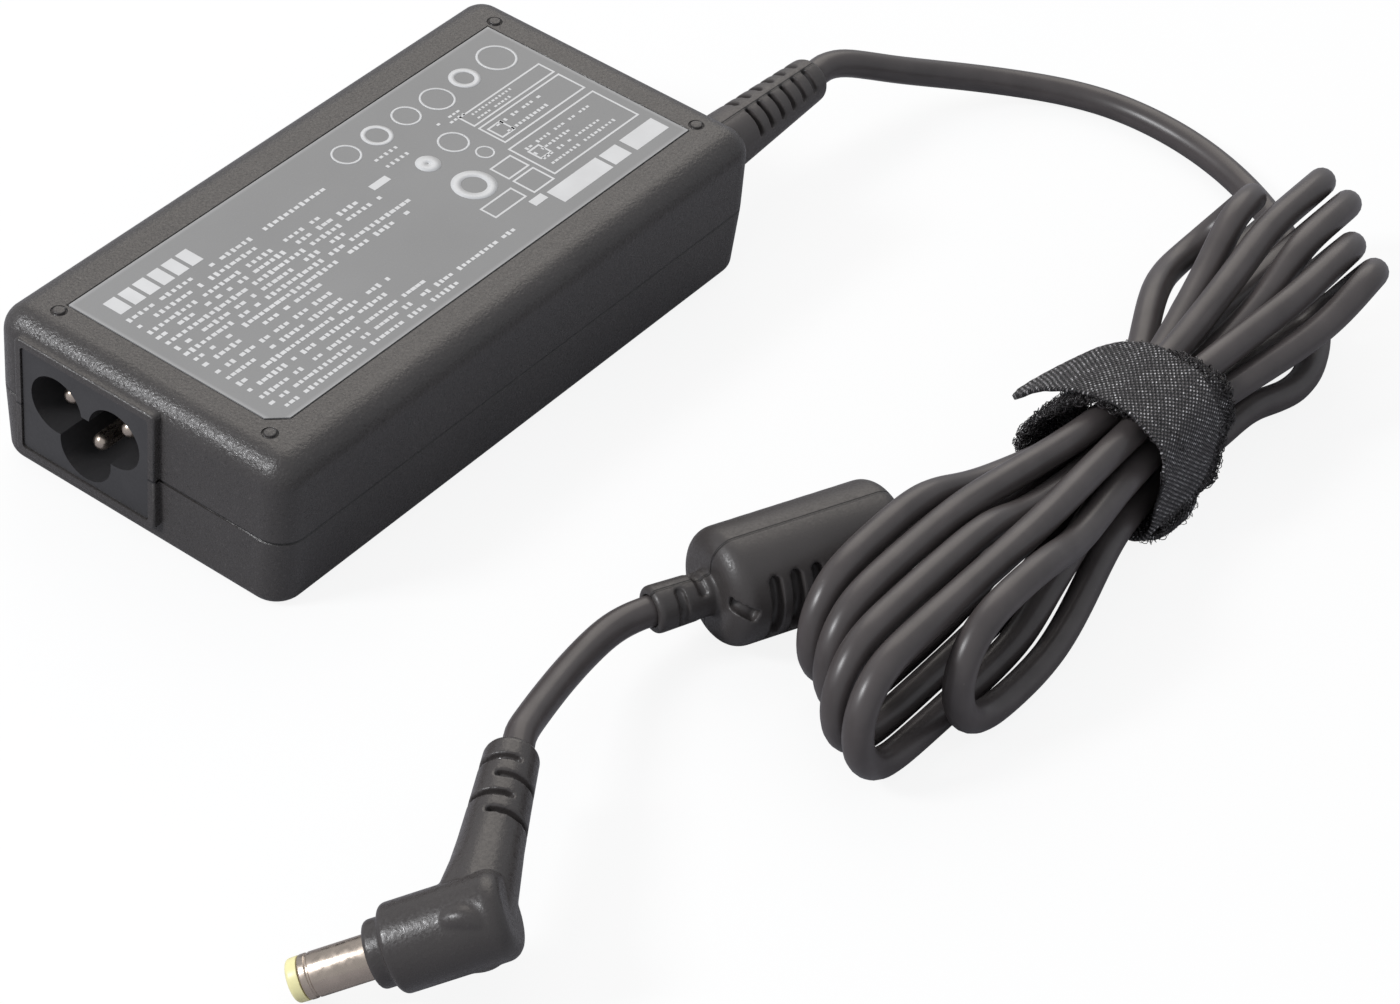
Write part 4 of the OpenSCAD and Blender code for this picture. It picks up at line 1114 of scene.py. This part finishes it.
# ---------------------------------------------------------------- strap and mouldings

GATE_MARK = ((5.2, 245, -13.3), (6.2, 250, -12.6), (7.0, 256, -11.8), (7.4, 262, -10.7))

BAND_WAY = (
    (-79.7, 16.5, 34.2, 0.7), (-80.6, 17.3, 35.6, 2.2), (-82.2, 18.5, 37.9, 4.2),
    (-84.4, 19.6, 40.4, 5.7), (-87.0, 20.35, 42.4, 6.8), (-90.2, 20.7, 43.6, 7.25),
    (-94.0, 20.35, 43.9, 7.2), (-97.7, 19.1, 44.1, 7.1), (-100.5, 16.5, 44.2, 7.0),
    (-101.5, 12.8, 44.2, 6.9), (-101.6, 8.8, 44.0, 6.8), (-101.5, 5.0, 43.6, 6.7),
    (-100.9, 2.4, 43.3, 6.6), (-99.4, 0.95, 43.1, 6.5), (-96.5, 0.5, 43.0, 6.5),
)
UNDER_WAY = (
    (-102.2, 0.80, 43.4, 2.4), (-101.7, 0.70, 43.9, 4.6), (-100.7, 0.65, 44.3, 6.2),
    (-97.6, 1.0, 44.1, 7.3), (-94.0, 1.15, 43.3, 7.3), (-88.0, 1.15, 42.0, 7.3),
    (-85.0, 1.7, 41.4, 7.5), (-83.1, 4.2, 41.0, 8.1), (-82.5, 8.0, 41.0, 8.7),
    (-82.8, 12.0, 41.2, 9.0), (-84.0, 15.4, 41.8, 8.8), (-86.0, 17.9, 42.6, 8.0),
    (-88.8, 19.15, 43.6, 7.4), (-92.4, 19.25, 45.0, 7.4), (-95.8, 19.05, 46.2, 7.4),
    (-98.6, 17.75, 47.2, 7.4), (-100.4, 15.2, 47.9, 7.4), (-100.75, 11.0, 48.2, 7.4),
    (-100.7, 7.0, 48.0, 7.4), (-100.75, 3.4, 47.4, 7.2), (-101.1, 1.6, 46.8, 6.7),
)


def near_edges(obj, name, half, inside):
    """A copy of a ribbon's faces that lie within a distance of its long edges, in mm."""
    out = linked(name, obj.data.copy())
    with edited(out.data) as bm:
        layer = bm.loops.layers.uv.active
        far = [
            f for f in bm.faces
            if max(abs(loop[layer].uv.y) for loop in f.loops) < (half - inside) * MM
        ]
        bmesh.ops.delete(bm, geom=far, context="FACES")
    return out


# ---------------------------------------------------------------- stage and finishes

CAMERA_AT = (-0.354185, -0.282695, 0.371173)
CAMERA_RIGHT = (0.59869731, -0.79680258, 0.08165276)
CAMERA_UP = (0.48939232, 0.44459616, 0.75021958)


class ADAPTER_OT_stage(bpy.types.Operator):
    """Sets the floor, the lamps, the surroundings and the camera"""
    bl_idname = "adapter.stage"
    bl_label = "Stage"

    def execute(self, context):
        look = context.scene.adapter_stage
        context.scene.view_settings.view_transform = "Standard"
        camera = bpy.data.objects.new("camera", bpy.data.cameras.new("camera"))
        context.scene.collection.objects.link(camera)
        camera.data.lens = look.lens
        camera.data.sensor_width = 36.0
        camera.data.clip_start = 0.01
        right, up = Vector(CAMERA_RIGHT), Vector(CAMERA_UP)
        turn = Matrix((right, up, right.cross(up))).transposed().to_4x4()
        camera.matrix_world = Matrix.Translation(CAMERA_AT) @ turn
        context.scene.camera = camera

        half = look.width / 2 / MM
        floor = piece(
            "floor", [(-half, -half, 0), (half, -half, 0), (half, half, 0), (-half, half, 0)],
            [(0, 1, 2, 3)], smooth=False,
        )
        floor.data.materials.append(floor_finish(look.floor, look.floor_seen))
        self.surround(context, look)
        for name, at, size, power, tint in (
            ("key", (-0.70, 0.42, 0.66), 0.24, look.key, (0.97, 0.98, 1.0)),
            ("box", (0.72, 0.46, 0.76), 0.95, look.box, (1.0, 0.93, 0.84)),
        ):
            lamp = bpy.data.lights.new(name, "AREA")
            lamp.size, lamp.energy, lamp.color = size, power, tint
            made = bpy.data.objects.new(name, lamp)
            context.scene.collection.objects.link(made)
            made.location = at
            made.rotation_euler = Vector(at).to_track_quat("Z", "Y").to_euler()
        return {"FINISHED"}

    def surround(self, context, look):
        world = bpy.data.worlds.new("surroundings")
        context.scene.world = world
        world.use_nodes = True
        tree = world.node_tree
        tree.nodes.clear()
        rays = add_node(tree, "ShaderNodeLightPath")
        clear = add_node(
            tree, "ShaderNodeMath", {0: rays["Is Camera Ray"], 1: rays["Is Transmission Ray"]},
            operation="MAXIMUM",
        )
        lit = add_node(
            tree, "ShaderNodeBackground", {"Color": (0.92, 0.95, 1, 1), "Strength": look.sky}
        )
        seen = add_node(tree, "ShaderNodeBackground", {"Color": (1, 1, 1, 1)})
        mix = add_node(tree, "ShaderNodeMixShader", {0: clear[0], 1: lit[0], 2: seen[0]})
        add_node(tree, "ShaderNodeOutputWorld", {"Surface": mix[0]})


def floor_finish(tone, seen):
    """Matt floor that a camera sees as nearly white, with the shadow left on it."""
    material = bpy.data.materials.new("stage_floor")
    material.use_nodes = True
    tree = material.node_tree
    tree.nodes.clear()
    matt = add_node(tree, "ShaderNodeBsdfDiffuse", {"Color": (*tone, 1)})
    white = add_node(tree, "ShaderNodeBsdfDiffuse", {"Color": (0.95, 0.95, 0.95, 1)})
    glow = add_node(tree, "ShaderNodeEmission")
    shown = add_node(tree, "ShaderNodeMixShader", {0: seen, 1: white[0], 2: glow[0]})
    rays = add_node(tree, "ShaderNodeLightPath")
    mix = add_node(
        tree, "ShaderNodeMixShader", {0: rays["Is Camera Ray"], 1: matt[0], 2: shown[0]}
    )
    add_node(tree, "ShaderNodeOutputMaterial", {"Surface": mix[0]})
    return material


class ADAPTER_OT_finishes(bpy.types.Operator):
    """Makes the finishes and gives one to each node of the frame"""
    bl_idname = "adapter.finishes"
    bl_label = "Finishes"

    def execute(self, context):
        SLOTS.update(finishes())
        for part in frame["record"]["subparts"]:
            node = NODES[part["node"]]
            for slot in node.material_slots:
                slot.material = SLOTS[part["material_slot"]].material
        return {"FINISHED"}


class ADAPTER_OT_strap(bpy.types.Operator):
    """Wraps the hook and loop strap round the hank: a woven band over a looped layer"""
    bl_idname = "adapter.strap"
    bl_label = "Strap"

    def execute(self, context):
        look = context.scene.adapter_strap
        t, rib = look.thickness, look.rib

        def weave(u, v):
            return 0.05 * math.sin(2 * math.pi * v / rib) * math.sin(2 * math.pi * u / (0.8 * rib))

        band = painted(ribbon("strap_band", BAND_WAY, t, 0.2, weave, 0.12), "strap")
        under = painted(ribbon("strap_under_layer", UNDER_WAY, t, 0.45, None, 0.25), "strap")
        keep_above(under, 0.05)
        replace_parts(band, "cable_strap")
        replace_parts(under, "cable_strap")
        for k, (obj, density, radius) in enumerate((
            (linked("strap_pile", under.data.copy()), look.pile, look.loop_r),
            (near_edges(under, "strap_fringe", 7.3, 1.2), look.fringe, 0.72),
            (near_edges(band, "band_fringe", 7.2, 0.4), 0.5 * look.fringe, 0.26),
        )):
            pile_on(obj, density, radius, YARN_R, look.seed + k)
        for obj, stations, below, along in (
            (under, UNDER_WAY, "lead_hank", ["strap_pile", "strap_fringe"]),
            (band, BAND_WAY, "strap_under_layer", ["band_fringe"]),
        ):
            flat, area = flat_size(stations)
        return {"FINISHED"}


def pile_on(obj, density, radius, yarn, seed):
    """Turns a surface into its pile: loops of yarn, sizes in mm."""
    grown(
        obj, pile_tree(), Density=density / MM ** 2, Loop=radius * MM, Yarn=yarn * MM,
        Seed=seed, Material=SLOTS["pile"].material,
    )
    keep_above(obj, 0.02)
    return painted(smooth_shaded(obj), "pile")


class ADAPTER_OT_strain_relief(bpy.types.Operator):
    """Moulds the slotted strain relief where the lead leaves the case"""
    bl_idname = "adapter.strain_relief"
    bl_label = "Strain relief"

    def execute(self, context):
        body = turned("strain_relief_moulding", [
            (0, -3.8, 0), (5.9, -3.8, 0.3), (5.9, -2.1, 0.2), (4.75, -2.1, 0.2),
            (4.75, 0.4, 0.2), (3.35, 28, 1.3), (0, 28, 0),
        ])
        bored(body, -5, 30)
        cut(body, stadium_rows([(0.95, 2.75, 7.0, (189, 103), 68, 6, 10.4, 2.8)]))
        moulded(body, context.scene.adapter_mouldings.voxel)
        body.data.transform(placed(BOOT_ROOT))
        painted(body, "boot_moulding")
        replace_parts(body, "output_strain_relief")
        return {"FINISHED"}


class ADAPTER_OT_ferrite(bpy.types.Operator):
    """Moulds the jacket of the ferrite with its slotted sleeves"""
    bl_idname = "adapter.ferrite"
    bl_label = "Ferrite"

    def execute(self, context):
        half = FERRITE_HALF
        body = turned("ferrite_jacket_moulding", [
            (0, -half, 0), (3.2, -half, 0.7), (3.0, -13.5, 0.5), (8, -13.5, 2.9),
            (8, 13.5, 2.6), (3.0, 13.5, 0.5), (3.2, half, 0.7), (0, half, 0),
        ], 96, steps=8)
        bored(body, -30, 30)
        rows = [(1.7, 6.3, 9.5, (227, 55), 78, 6, -7.75, 3.1)]
        for end in (-1, 1):
            rows.append((1.3, 2.5, 4.5, (120, 300), 112, 1, end * 15.4, 1))
            rows.append((1.3, 2.5, 4.5, (190, 10), 112, 1, end * 18.6, 1))
        cut(body, stadium_rows(rows))
        gate = np.array([round_z(r, a, z) for r, a, z in GATE_MARK])
        cut(body, tube("gate", smooth_line(gate, 0.4), 0.95, 14))
        moulded(body, context.scene.adapter_mouldings.voxel * 1.1)
        body.data.transform(placed(FERRITE_AT, FERRITE_TURN))
        painted(body, "ferrite_moulding")
        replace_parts(body, "ferrite_jacket")
        return {"FINISHED"}


class ADAPTER_OT_plug(bpy.types.Operator):
    """Moulds the angled plug and turns its plated barrel"""
    bl_idname = "adapter.plug"
    bl_label = "Plug"

    def execute(self, context):
        front, axis = placed(PLUG_AT, PLUG_TURN, PLUG_DIP), placed(PLUG_AT, NECK_TURN)
        neck = axis @ Matrix.Translation((0, 0.5 * MM, 0))
        body = turned("plug_moulding", [
            (0, -4.3, 0), (5.45, -4.3, 1.9), (5.5, 0, 0), (5.5, 10.7, 0.8), (4.2, 10.7, 0.2),
            (4.2, 13.0, 0.6), (0, 13.0, 0),
        ], 96, front)
        cut(body, turned("stem", [
            (0, -4.4, 0), (5.0, -4.4, 1.5), (4.9, 0, 0), (4.05, 12, 0), (3.75, 19, 0),
            (3.45, NECK_L, 1.2), (0, NECK_L, 0),
        ], 72, neck), "UNION")
        web = hull(
            "web",
            circle_points(neck, 4.2, 9.0) + circle_points(neck, 4.8, 0.5)
            + circle_points(front, 4.9, 3.4) + circle_points(front, 5.0, 0.5),
        )
        cut(body, web, "UNION")
        bored(body, 9.0, 15, 2.6, front)
        bored(body, 7.5, 30, place=axis)
        slots = stadium_rows([
            (0.95, 2.65, 6.0, (96, 276), 112, 2, NECK_L - 10.3, 6.3),
            (0.95, 2.65, 6.0, (160, 340), 112, 2, NECK_L - 13.3, 6.3),
        ])
        slots.data.transform(neck)
        cut(body, slots)
        moulded(body, context.scene.adapter_mouldings.voxel)
        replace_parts(painted(body, "plug_moulding"), "plug_body")

        sleeve = turned("plug_barrel", [
            (2.3, 9.0, 0), (2.5, 9.0, 0), (2.5, 13.0, 0), (BARREL_R, 13.0, 0.05),
            (BARREL_R, 20.3, 0.1), (2.6, 20.42, 0.08), (2.6, 20.62, 0.08),
            (BARREL_R, 20.74, 0.12), (BARREL_R, 21.65, 0.35), (2.3, 21.7, 0),
        ], 96, front)
        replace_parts(painted(smooth_shaded(sleeve, 40), "contact"), "plug_sleeve")
        tip = turned("plug_tip_ring", [
            (1.42, 9.0, 0), (2.2, 9.0, 0), (2.2, 21.7, 0), (2.72, 21.7, 0.05),
            (2.68, PLUG_REACH, 0.5), (1.42, PLUG_REACH, 0.25), (1.42, 22.5, 0),
        ], 96, front)
        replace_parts(painted(smooth_shaded(tip, 40), "tip_ring"), "plug_tip_insulator")
        return {"FINISHED"}


class ADAPTER_OT_lead(bpy.types.Operator):
    """Draws the output lead through the hank and the ferrite to the plug"""
    bl_idname = "adapter.lead"
    bl_label = "Output lead"

    def execute(self, context):
        look = context.scene.adapter_lead
        line = relaxed(smooth_line(lead_points(), look.step), look.step)
        lead = painted(tube("output_lead", line, look.diameter / 2, look.sides), "cord")
        keep_above(lead, 0.02)
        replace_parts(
            lead, "lead_to_hank", "lead_hank", "lead_to_ferrite", "ferrite_cable", "lead_to_plug"
        )
        return {"FINISHED"}


# ---------------------------------------------------------------- casing

CASE_L, CASE_W, CASE_H, SEAM_Z = 100, 50.6, 24, 11.4
CORNER_R, TOP_R, FOOT_R = 4.2, 4.0, 1.7
DRAFT_X, DRAFT_Y = 0.2, 0.7
SKIN = 0.12
INLET_AT, FRAME_W, FRAME_H, FRAME_OUT = (0, 8, 12.65), 24.5, 19.3, 1.0
LABEL_Z = 23.9
STUDS = [(x, y, CASE_H - 0.03) for x in (-44.6, 44.6) for y in (-18, 18)]


def rounded_ring(half_x, half_y, radius, z, steps=10, near=0.12):
    """A level outline with round corners, with points close to each end of the rounds."""
    out = []
    for k, (sx, sy) in enumerate(((1, 1), (-1, 1), (-1, -1), (1, -1))):
        at = (sx * (half_x - radius), sy * (half_y - radius))
        a0 = math.pi / 2 * k
        before, after = (math.sin(a0), -math.cos(a0)), (-math.cos(a0), -math.sin(a0))
        first = (at[0] + radius * math.cos(a0), at[1] + radius * math.sin(a0))
        out.append((first[0] + near * before[0], first[1] + near * before[1], z))
        for j in range(steps + 1):
            a = a0 + math.pi / 2 * j / steps
            out.append((at[0] + radius * math.cos(a), at[1] + radius * math.sin(a), z))
        last = out[-1]
        out.append((last[0] + near * after[0], last[1] + near * after[1], z))
    return out


def lofted(name, rings, place=None):
    """A closed solid through rings of as many points each."""
    rows = capped(len(rings), len(rings[0]))
    obj = piece(name, [p for ring in rings for p in ring], rows, place=place)
    face_outwards(obj)
    return obj


def case_levels(steps=10):
    """Heights of the case's skin, and how far each is drawn in."""
    out = []
    for k in range(steps + 1):
        a = math.pi / 2 * k / steps
        out.append((FOOT_R * (1 - math.cos(a)) + SKIN, FOOT_R * (1 - math.sin(a))))
    out += [(FOOT_R + 0.2, 0.0), (SEAM_Z - 0.19, 0.0), (CASE_H - TOP_R - 0.2, 0.0)]
    for k in range(steps + 1):
        a = math.pi / 2 * k / steps
        out.append((CASE_H - TOP_R + (TOP_R - SKIN) * math.sin(a), TOP_R * (1 - math.cos(a))))
    out.append((CASE_H - SKIN, TOP_R + 0.06))
    return out


def case_skin():
    rings = []
    for z, inset in case_levels():
        drawn = max(0.0, (SEAM_Z - z) / SEAM_Z)
        rings.append(rounded_ring(
            CASE_L / 2 - SKIN - DRAFT_X * drawn - inset,
            CASE_W / 2 - SKIN - DRAFT_Y * drawn - inset,
            max(CORNER_R - SKIN - inset, 0.03), z, near=0.12 if inset < 3 else 0.03,
        ))
    return lofted("case_skin", rings)


def skin_normal(spot):
    """The way that the case's skin faces at a point."""
    x, y, z = (c / MM for c in spot)
    drawn = max(0.0, (SEAM_Z - z) / SEAM_Z)
    px = abs(x) - (CASE_L / 2 - CORNER_R - DRAFT_X * drawn)
    py = abs(y) - (CASE_W / 2 - CORNER_R - DRAFT_Y * drawn)
    plan = Vector((max(px, 0), max(py, 0)))
    if plan.length < 0.001:
        plan = Vector((1, 0)) if px > py else Vector((0, 1))
    plan.normalize()
    if z > CASE_H - TOP_R:
        rise = min(1.0, (z - CASE_H + TOP_R) / (TOP_R - SKIN))
    else:
        rise = -min(1.0, max(0.0, (FOOT_R - z + SKIN) / FOOT_R))
    flat = math.sqrt(1 - rise * rise)
    return Vector((
        math.copysign(plan.x, x) * flat, math.copysign(plan.y, y) * flat, rise
    )).normalized()


def shaded_as_skin(shell):
    """Gives the faces that lie on the skin its own normals, so that no cut shows in them."""
    skin, mesh = case_skin(), shell.data
    tree = BVHTree.FromPolygons(
        [v.co for v in skin.data.vertices], [tuple(f.vertices) for f in skin.data.polygons]
    )
    normals = [tuple(corner.vector) for corner in mesh.corner_normals]
    for face in mesh.polygons:
        if tree.find_nearest(face.center)[3] > 0.01 * MM:
            continue
        if face.normal.dot(skin_normal(face.center)) < 0.97:
            continue
        for loop in face.loop_indices:
            normals[loop] = tuple(skin_normal(mesh.vertices[mesh.loops[loop].vertex_index].co))
    mesh.normals_split_custom_set(normals)
    discard(skin)
    return shell


def frame_skin():
    """The raised frame round the inlet, its outer edge eased."""
    deep, ease = 4.0, 0.35
    rings = []
    for z, inset in [(0, 0), (deep - ease - 0.05, 0)] + [
        (deep - ease + ease * math.sin(a), ease * (1 - math.cos(a)))
        for a in (math.pi / 2 * k / 5 for k in range(6))
    ]:
        rings.append(rounded_ring(
            FRAME_W / 2 - SKIN - inset, FRAME_H / 2 - SKIN - inset, 0.8 - inset, z - SKIN, 6, 0.05
        ))
    outwards = Matrix(((0, 0, -1, 0), (-1, 0, 0, 0), (0, 1, 0, 0), (0, 0, 0, 1)))
    inner_end = Vector((-CASE_L / 2 - FRAME_OUT + deep, *INLET_AT[1:])) * MM
    return lofted("frame_skin", rings, Matrix.Translation(inner_end) @ outwards)


def copied(node, name):
    obj = linked(name, NODES[node].data.copy())
    obj.data.transform(NODES[node].matrix_world)
    return obj


class ADAPTER_OT_casing(bpy.types.Operator):
    """Rounds the covers to their true skin and sets the weld studs in the top"""
    bl_idname = "adapter.casing"
    bl_label = "Casing"

    def execute(self, context):
        radius = context.scene.adapter_casing.stud_r
        for node, name in (("top_cover", "top_shell"), ("bottom_cover", "bottom_shell")):
            skin = cut(case_skin(), frame_skin(), "UNION")
            shell = tidied(cut(copied(node, name), skin, "INTERSECT"))
            shaded_as_skin(smooth_shaded(shell, 32))
            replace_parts(painted(shell, "case"), node)
        stud = turned("stud", [
            (0, -0.28, 0), (radius, -0.28, 0), (radius, 0.1, 0.12), (0, 0.17, 0),
        ], 24)
        spots = piece("corner_studs", STUDS, [])
        grown(spots, spots_tree(), Piece=stud, Material=SLOTS["case"].material)
        discard(stud)
        painted(smooth_shaded(spots, 50), "case")
        return {"FINISHED"}


# ---------------------------------------------------------------- label

MARK_ROWS = (
    (-20.5, 8.2, 39, 3.6, 38, 3, 1.0), (-17.0, 0.9, 46, 8.0, 45, 6, 1.05),
    (-16.0, -7.9, 48, 5.4, 52, 4, 1.0), (-11.5, -14.3, 57, 3.4, 62, 3, 0.95),
    (31.6, -6.6, 15, 4.6, 20, 4, 0.7), (32.2, 1.1, 13, 2.0, 17, 2, 0.8),
    (32.2, 5.6, 14, 1.1, 20, 2, 0.6), (12.5, 8.0, 9, 2.0, 10, 2, 0.8),
    (22.6, 7.6, 5, 1.0, 7, 2, 0.7),
)
RINGS = (
    (37.9, 12.2, 3.0, 0.4), (31.0, 12.4, 2.3, 0.9), (24.6, 12.0, 2.6, 0.35),
    (18.6, 12.6, 2.2, 0.35), (12.4, 12.6, 2.3, 0.7), (6.2, 12.8, 2.2, 0.35),
    (18.4, 4.0, 2.3, 0.35), (12.2, 3.4, 1.8, 1.7), (12.8, -4.2, 3.2, 1.4),
    (19.6, -0.6, 1.4, 0.3),
)
FRAMES = (
    (32.0, 5.6, 17.6, 2.7), (32.0, 1.1, 17.6, 4.6), (31.6, -6.6, 18.6, 8.0), (19.2, -5.2, 4.2, 3.2),
    (19.2, -9.4, 4.2, 3.6), (12.4, -9.6, 6.4, 2.6), (25.2, 1.1, 2.6, 2.6), (24.8, -6.0, 2.2, 2.2),
)
PATCHES = tuple((-38.8 + 2.75 * k, 13.2, 2.1, 3.2) for k in range(6)) + (
    (23.6, -14.0, 10.7, 3.2), (31.4, -14.0, 3.6, 3.0), (37.9, -14.0, 7.2, 3.2),
    (4.4, 5.4, 3.4, 1.2), (16.2, -12.6, 2.6, 1.4),
)
INK_T, FRAME_LINE = 0.022, 0.3
INK_Z = LABEL_Z + 0.012


def bars(name, spots, level):
    """Flat bars round a height: each has its middle, width and length."""
    points, faces = [], []
    for x, y, wide, high in spots:
        b = len(points)
        points += [
            (x + i * wide / 2, y + j * high / 2, level + k * INK_T / 2)
            for k in (-1, 1) for j in (-1, 1) for i in (-1, 1)
        ]
        faces += [
            tuple(b + c for c in face) for face in
            ((0, 2, 3, 1), (4, 5, 7, 6), (0, 1, 5, 4), (2, 6, 7, 3), (0, 4, 6, 2), (1, 3, 7, 5))
        ]
    return piece(name, points, faces, smooth=False)


class ADAPTER_OT_label(bpy.types.Operator):
    """Lays generic marks, rings and empty boxes on the rating label"""
    bl_idname = "adapter.label"
    bl_label = "Label"

    def execute(self, context):
        made = []
        for i, (x, y, long, wide, columns, rows, high) in enumerate(MARK_ROWS):
            tile = bars(f"tile_{i}", [(0, 0, 0.8 * high, 0.6 * high)], 0.0)
            block = linked(f"marks_{i}", bpy.data.meshes.new(f"marks_{i}"))
            grown(
                block, marks_tree(), Length=long * MM, Width=wide * MM, Columns=columns,
                Rows=rows, Gaps=0.2, Mark=tile, Seed=i + 3, Material=SLOTS["ink"].material,
            )
            block.data.transform(Matrix.Translation(Vector((x, y, INK_Z)) * MM))
            discard(tile)
            made.append(block)
        for i, (x, y, r, width) in enumerate(RINGS):
            made.append(lathe(
                f"ring_{i}", [(r - width, 0), (r, 0), (r, INK_T), (r - width, INK_T)], 40,
                Matrix.Translation(Vector((x, y, LABEL_Z + 0.001)) * MM),
            ))
        edges = list(PATCHES)
        for x, y, w, h in FRAMES:
            edges += [(x, y + s * h / 2, w + FRAME_LINE, FRAME_LINE) for s in (1, -1)]
            edges += [(x + s * w / 2, y, FRAME_LINE, h - FRAME_LINE) for s in (1, -1)]
        made.append(bars("bars", edges, INK_Z))
        painted(joined(made, "label_print"), "ink")
        return {"FINISHED"}


# ---------------------------------------------------------------- panel and start

class ADAPTER_PT_panel(bpy.types.Panel):
    """The adapter's pieces, in the 3D view's sidebar"""
    bl_label = "Power adapter"
    bl_idname = "ADAPTER_PT_panel"
    bl_space_type = "VIEW_3D"
    bl_region_type = "UI"
    bl_category = "Adapter"

    def draw(self, context):
        for made in OPERATORS:
            self.layout.operator(made.bl_idname)
        for name, group in GROUPS.items():
            box = self.layout.box()
            for field in group.__annotations__:
                box.prop(getattr(context.scene, name), field)


OPERATORS = (
    ADAPTER_OT_stage, ADAPTER_OT_finishes, ADAPTER_OT_casing, ADAPTER_OT_label,
    ADAPTER_OT_strain_relief, ADAPTER_OT_strap, ADAPTER_OT_ferrite, ADAPTER_OT_plug,
    ADAPTER_OT_lead,
)


def register():
    for made in (*GROUPS.values(), *OPERATORS, ADAPTER_PT_panel):
        bpy.utils.register_class(made)
    for name, group in GROUPS.items():
        setattr(bpy.types.Scene, name, PointerProperty(type=group))


def unregister():
    for name in GROUPS:
        delattr(bpy.types.Scene, name)
    for made in reversed((*GROUPS.values(), *OPERATORS, ADAPTER_PT_panel)):
        bpy.utils.unregister_class(made)


def main():
    register()
    for made in OPERATORS:
        area, name = made.bl_idname.split(".")
        getattr(getattr(bpy.ops, area), name)()


if __name__ == "__main__":
    main()
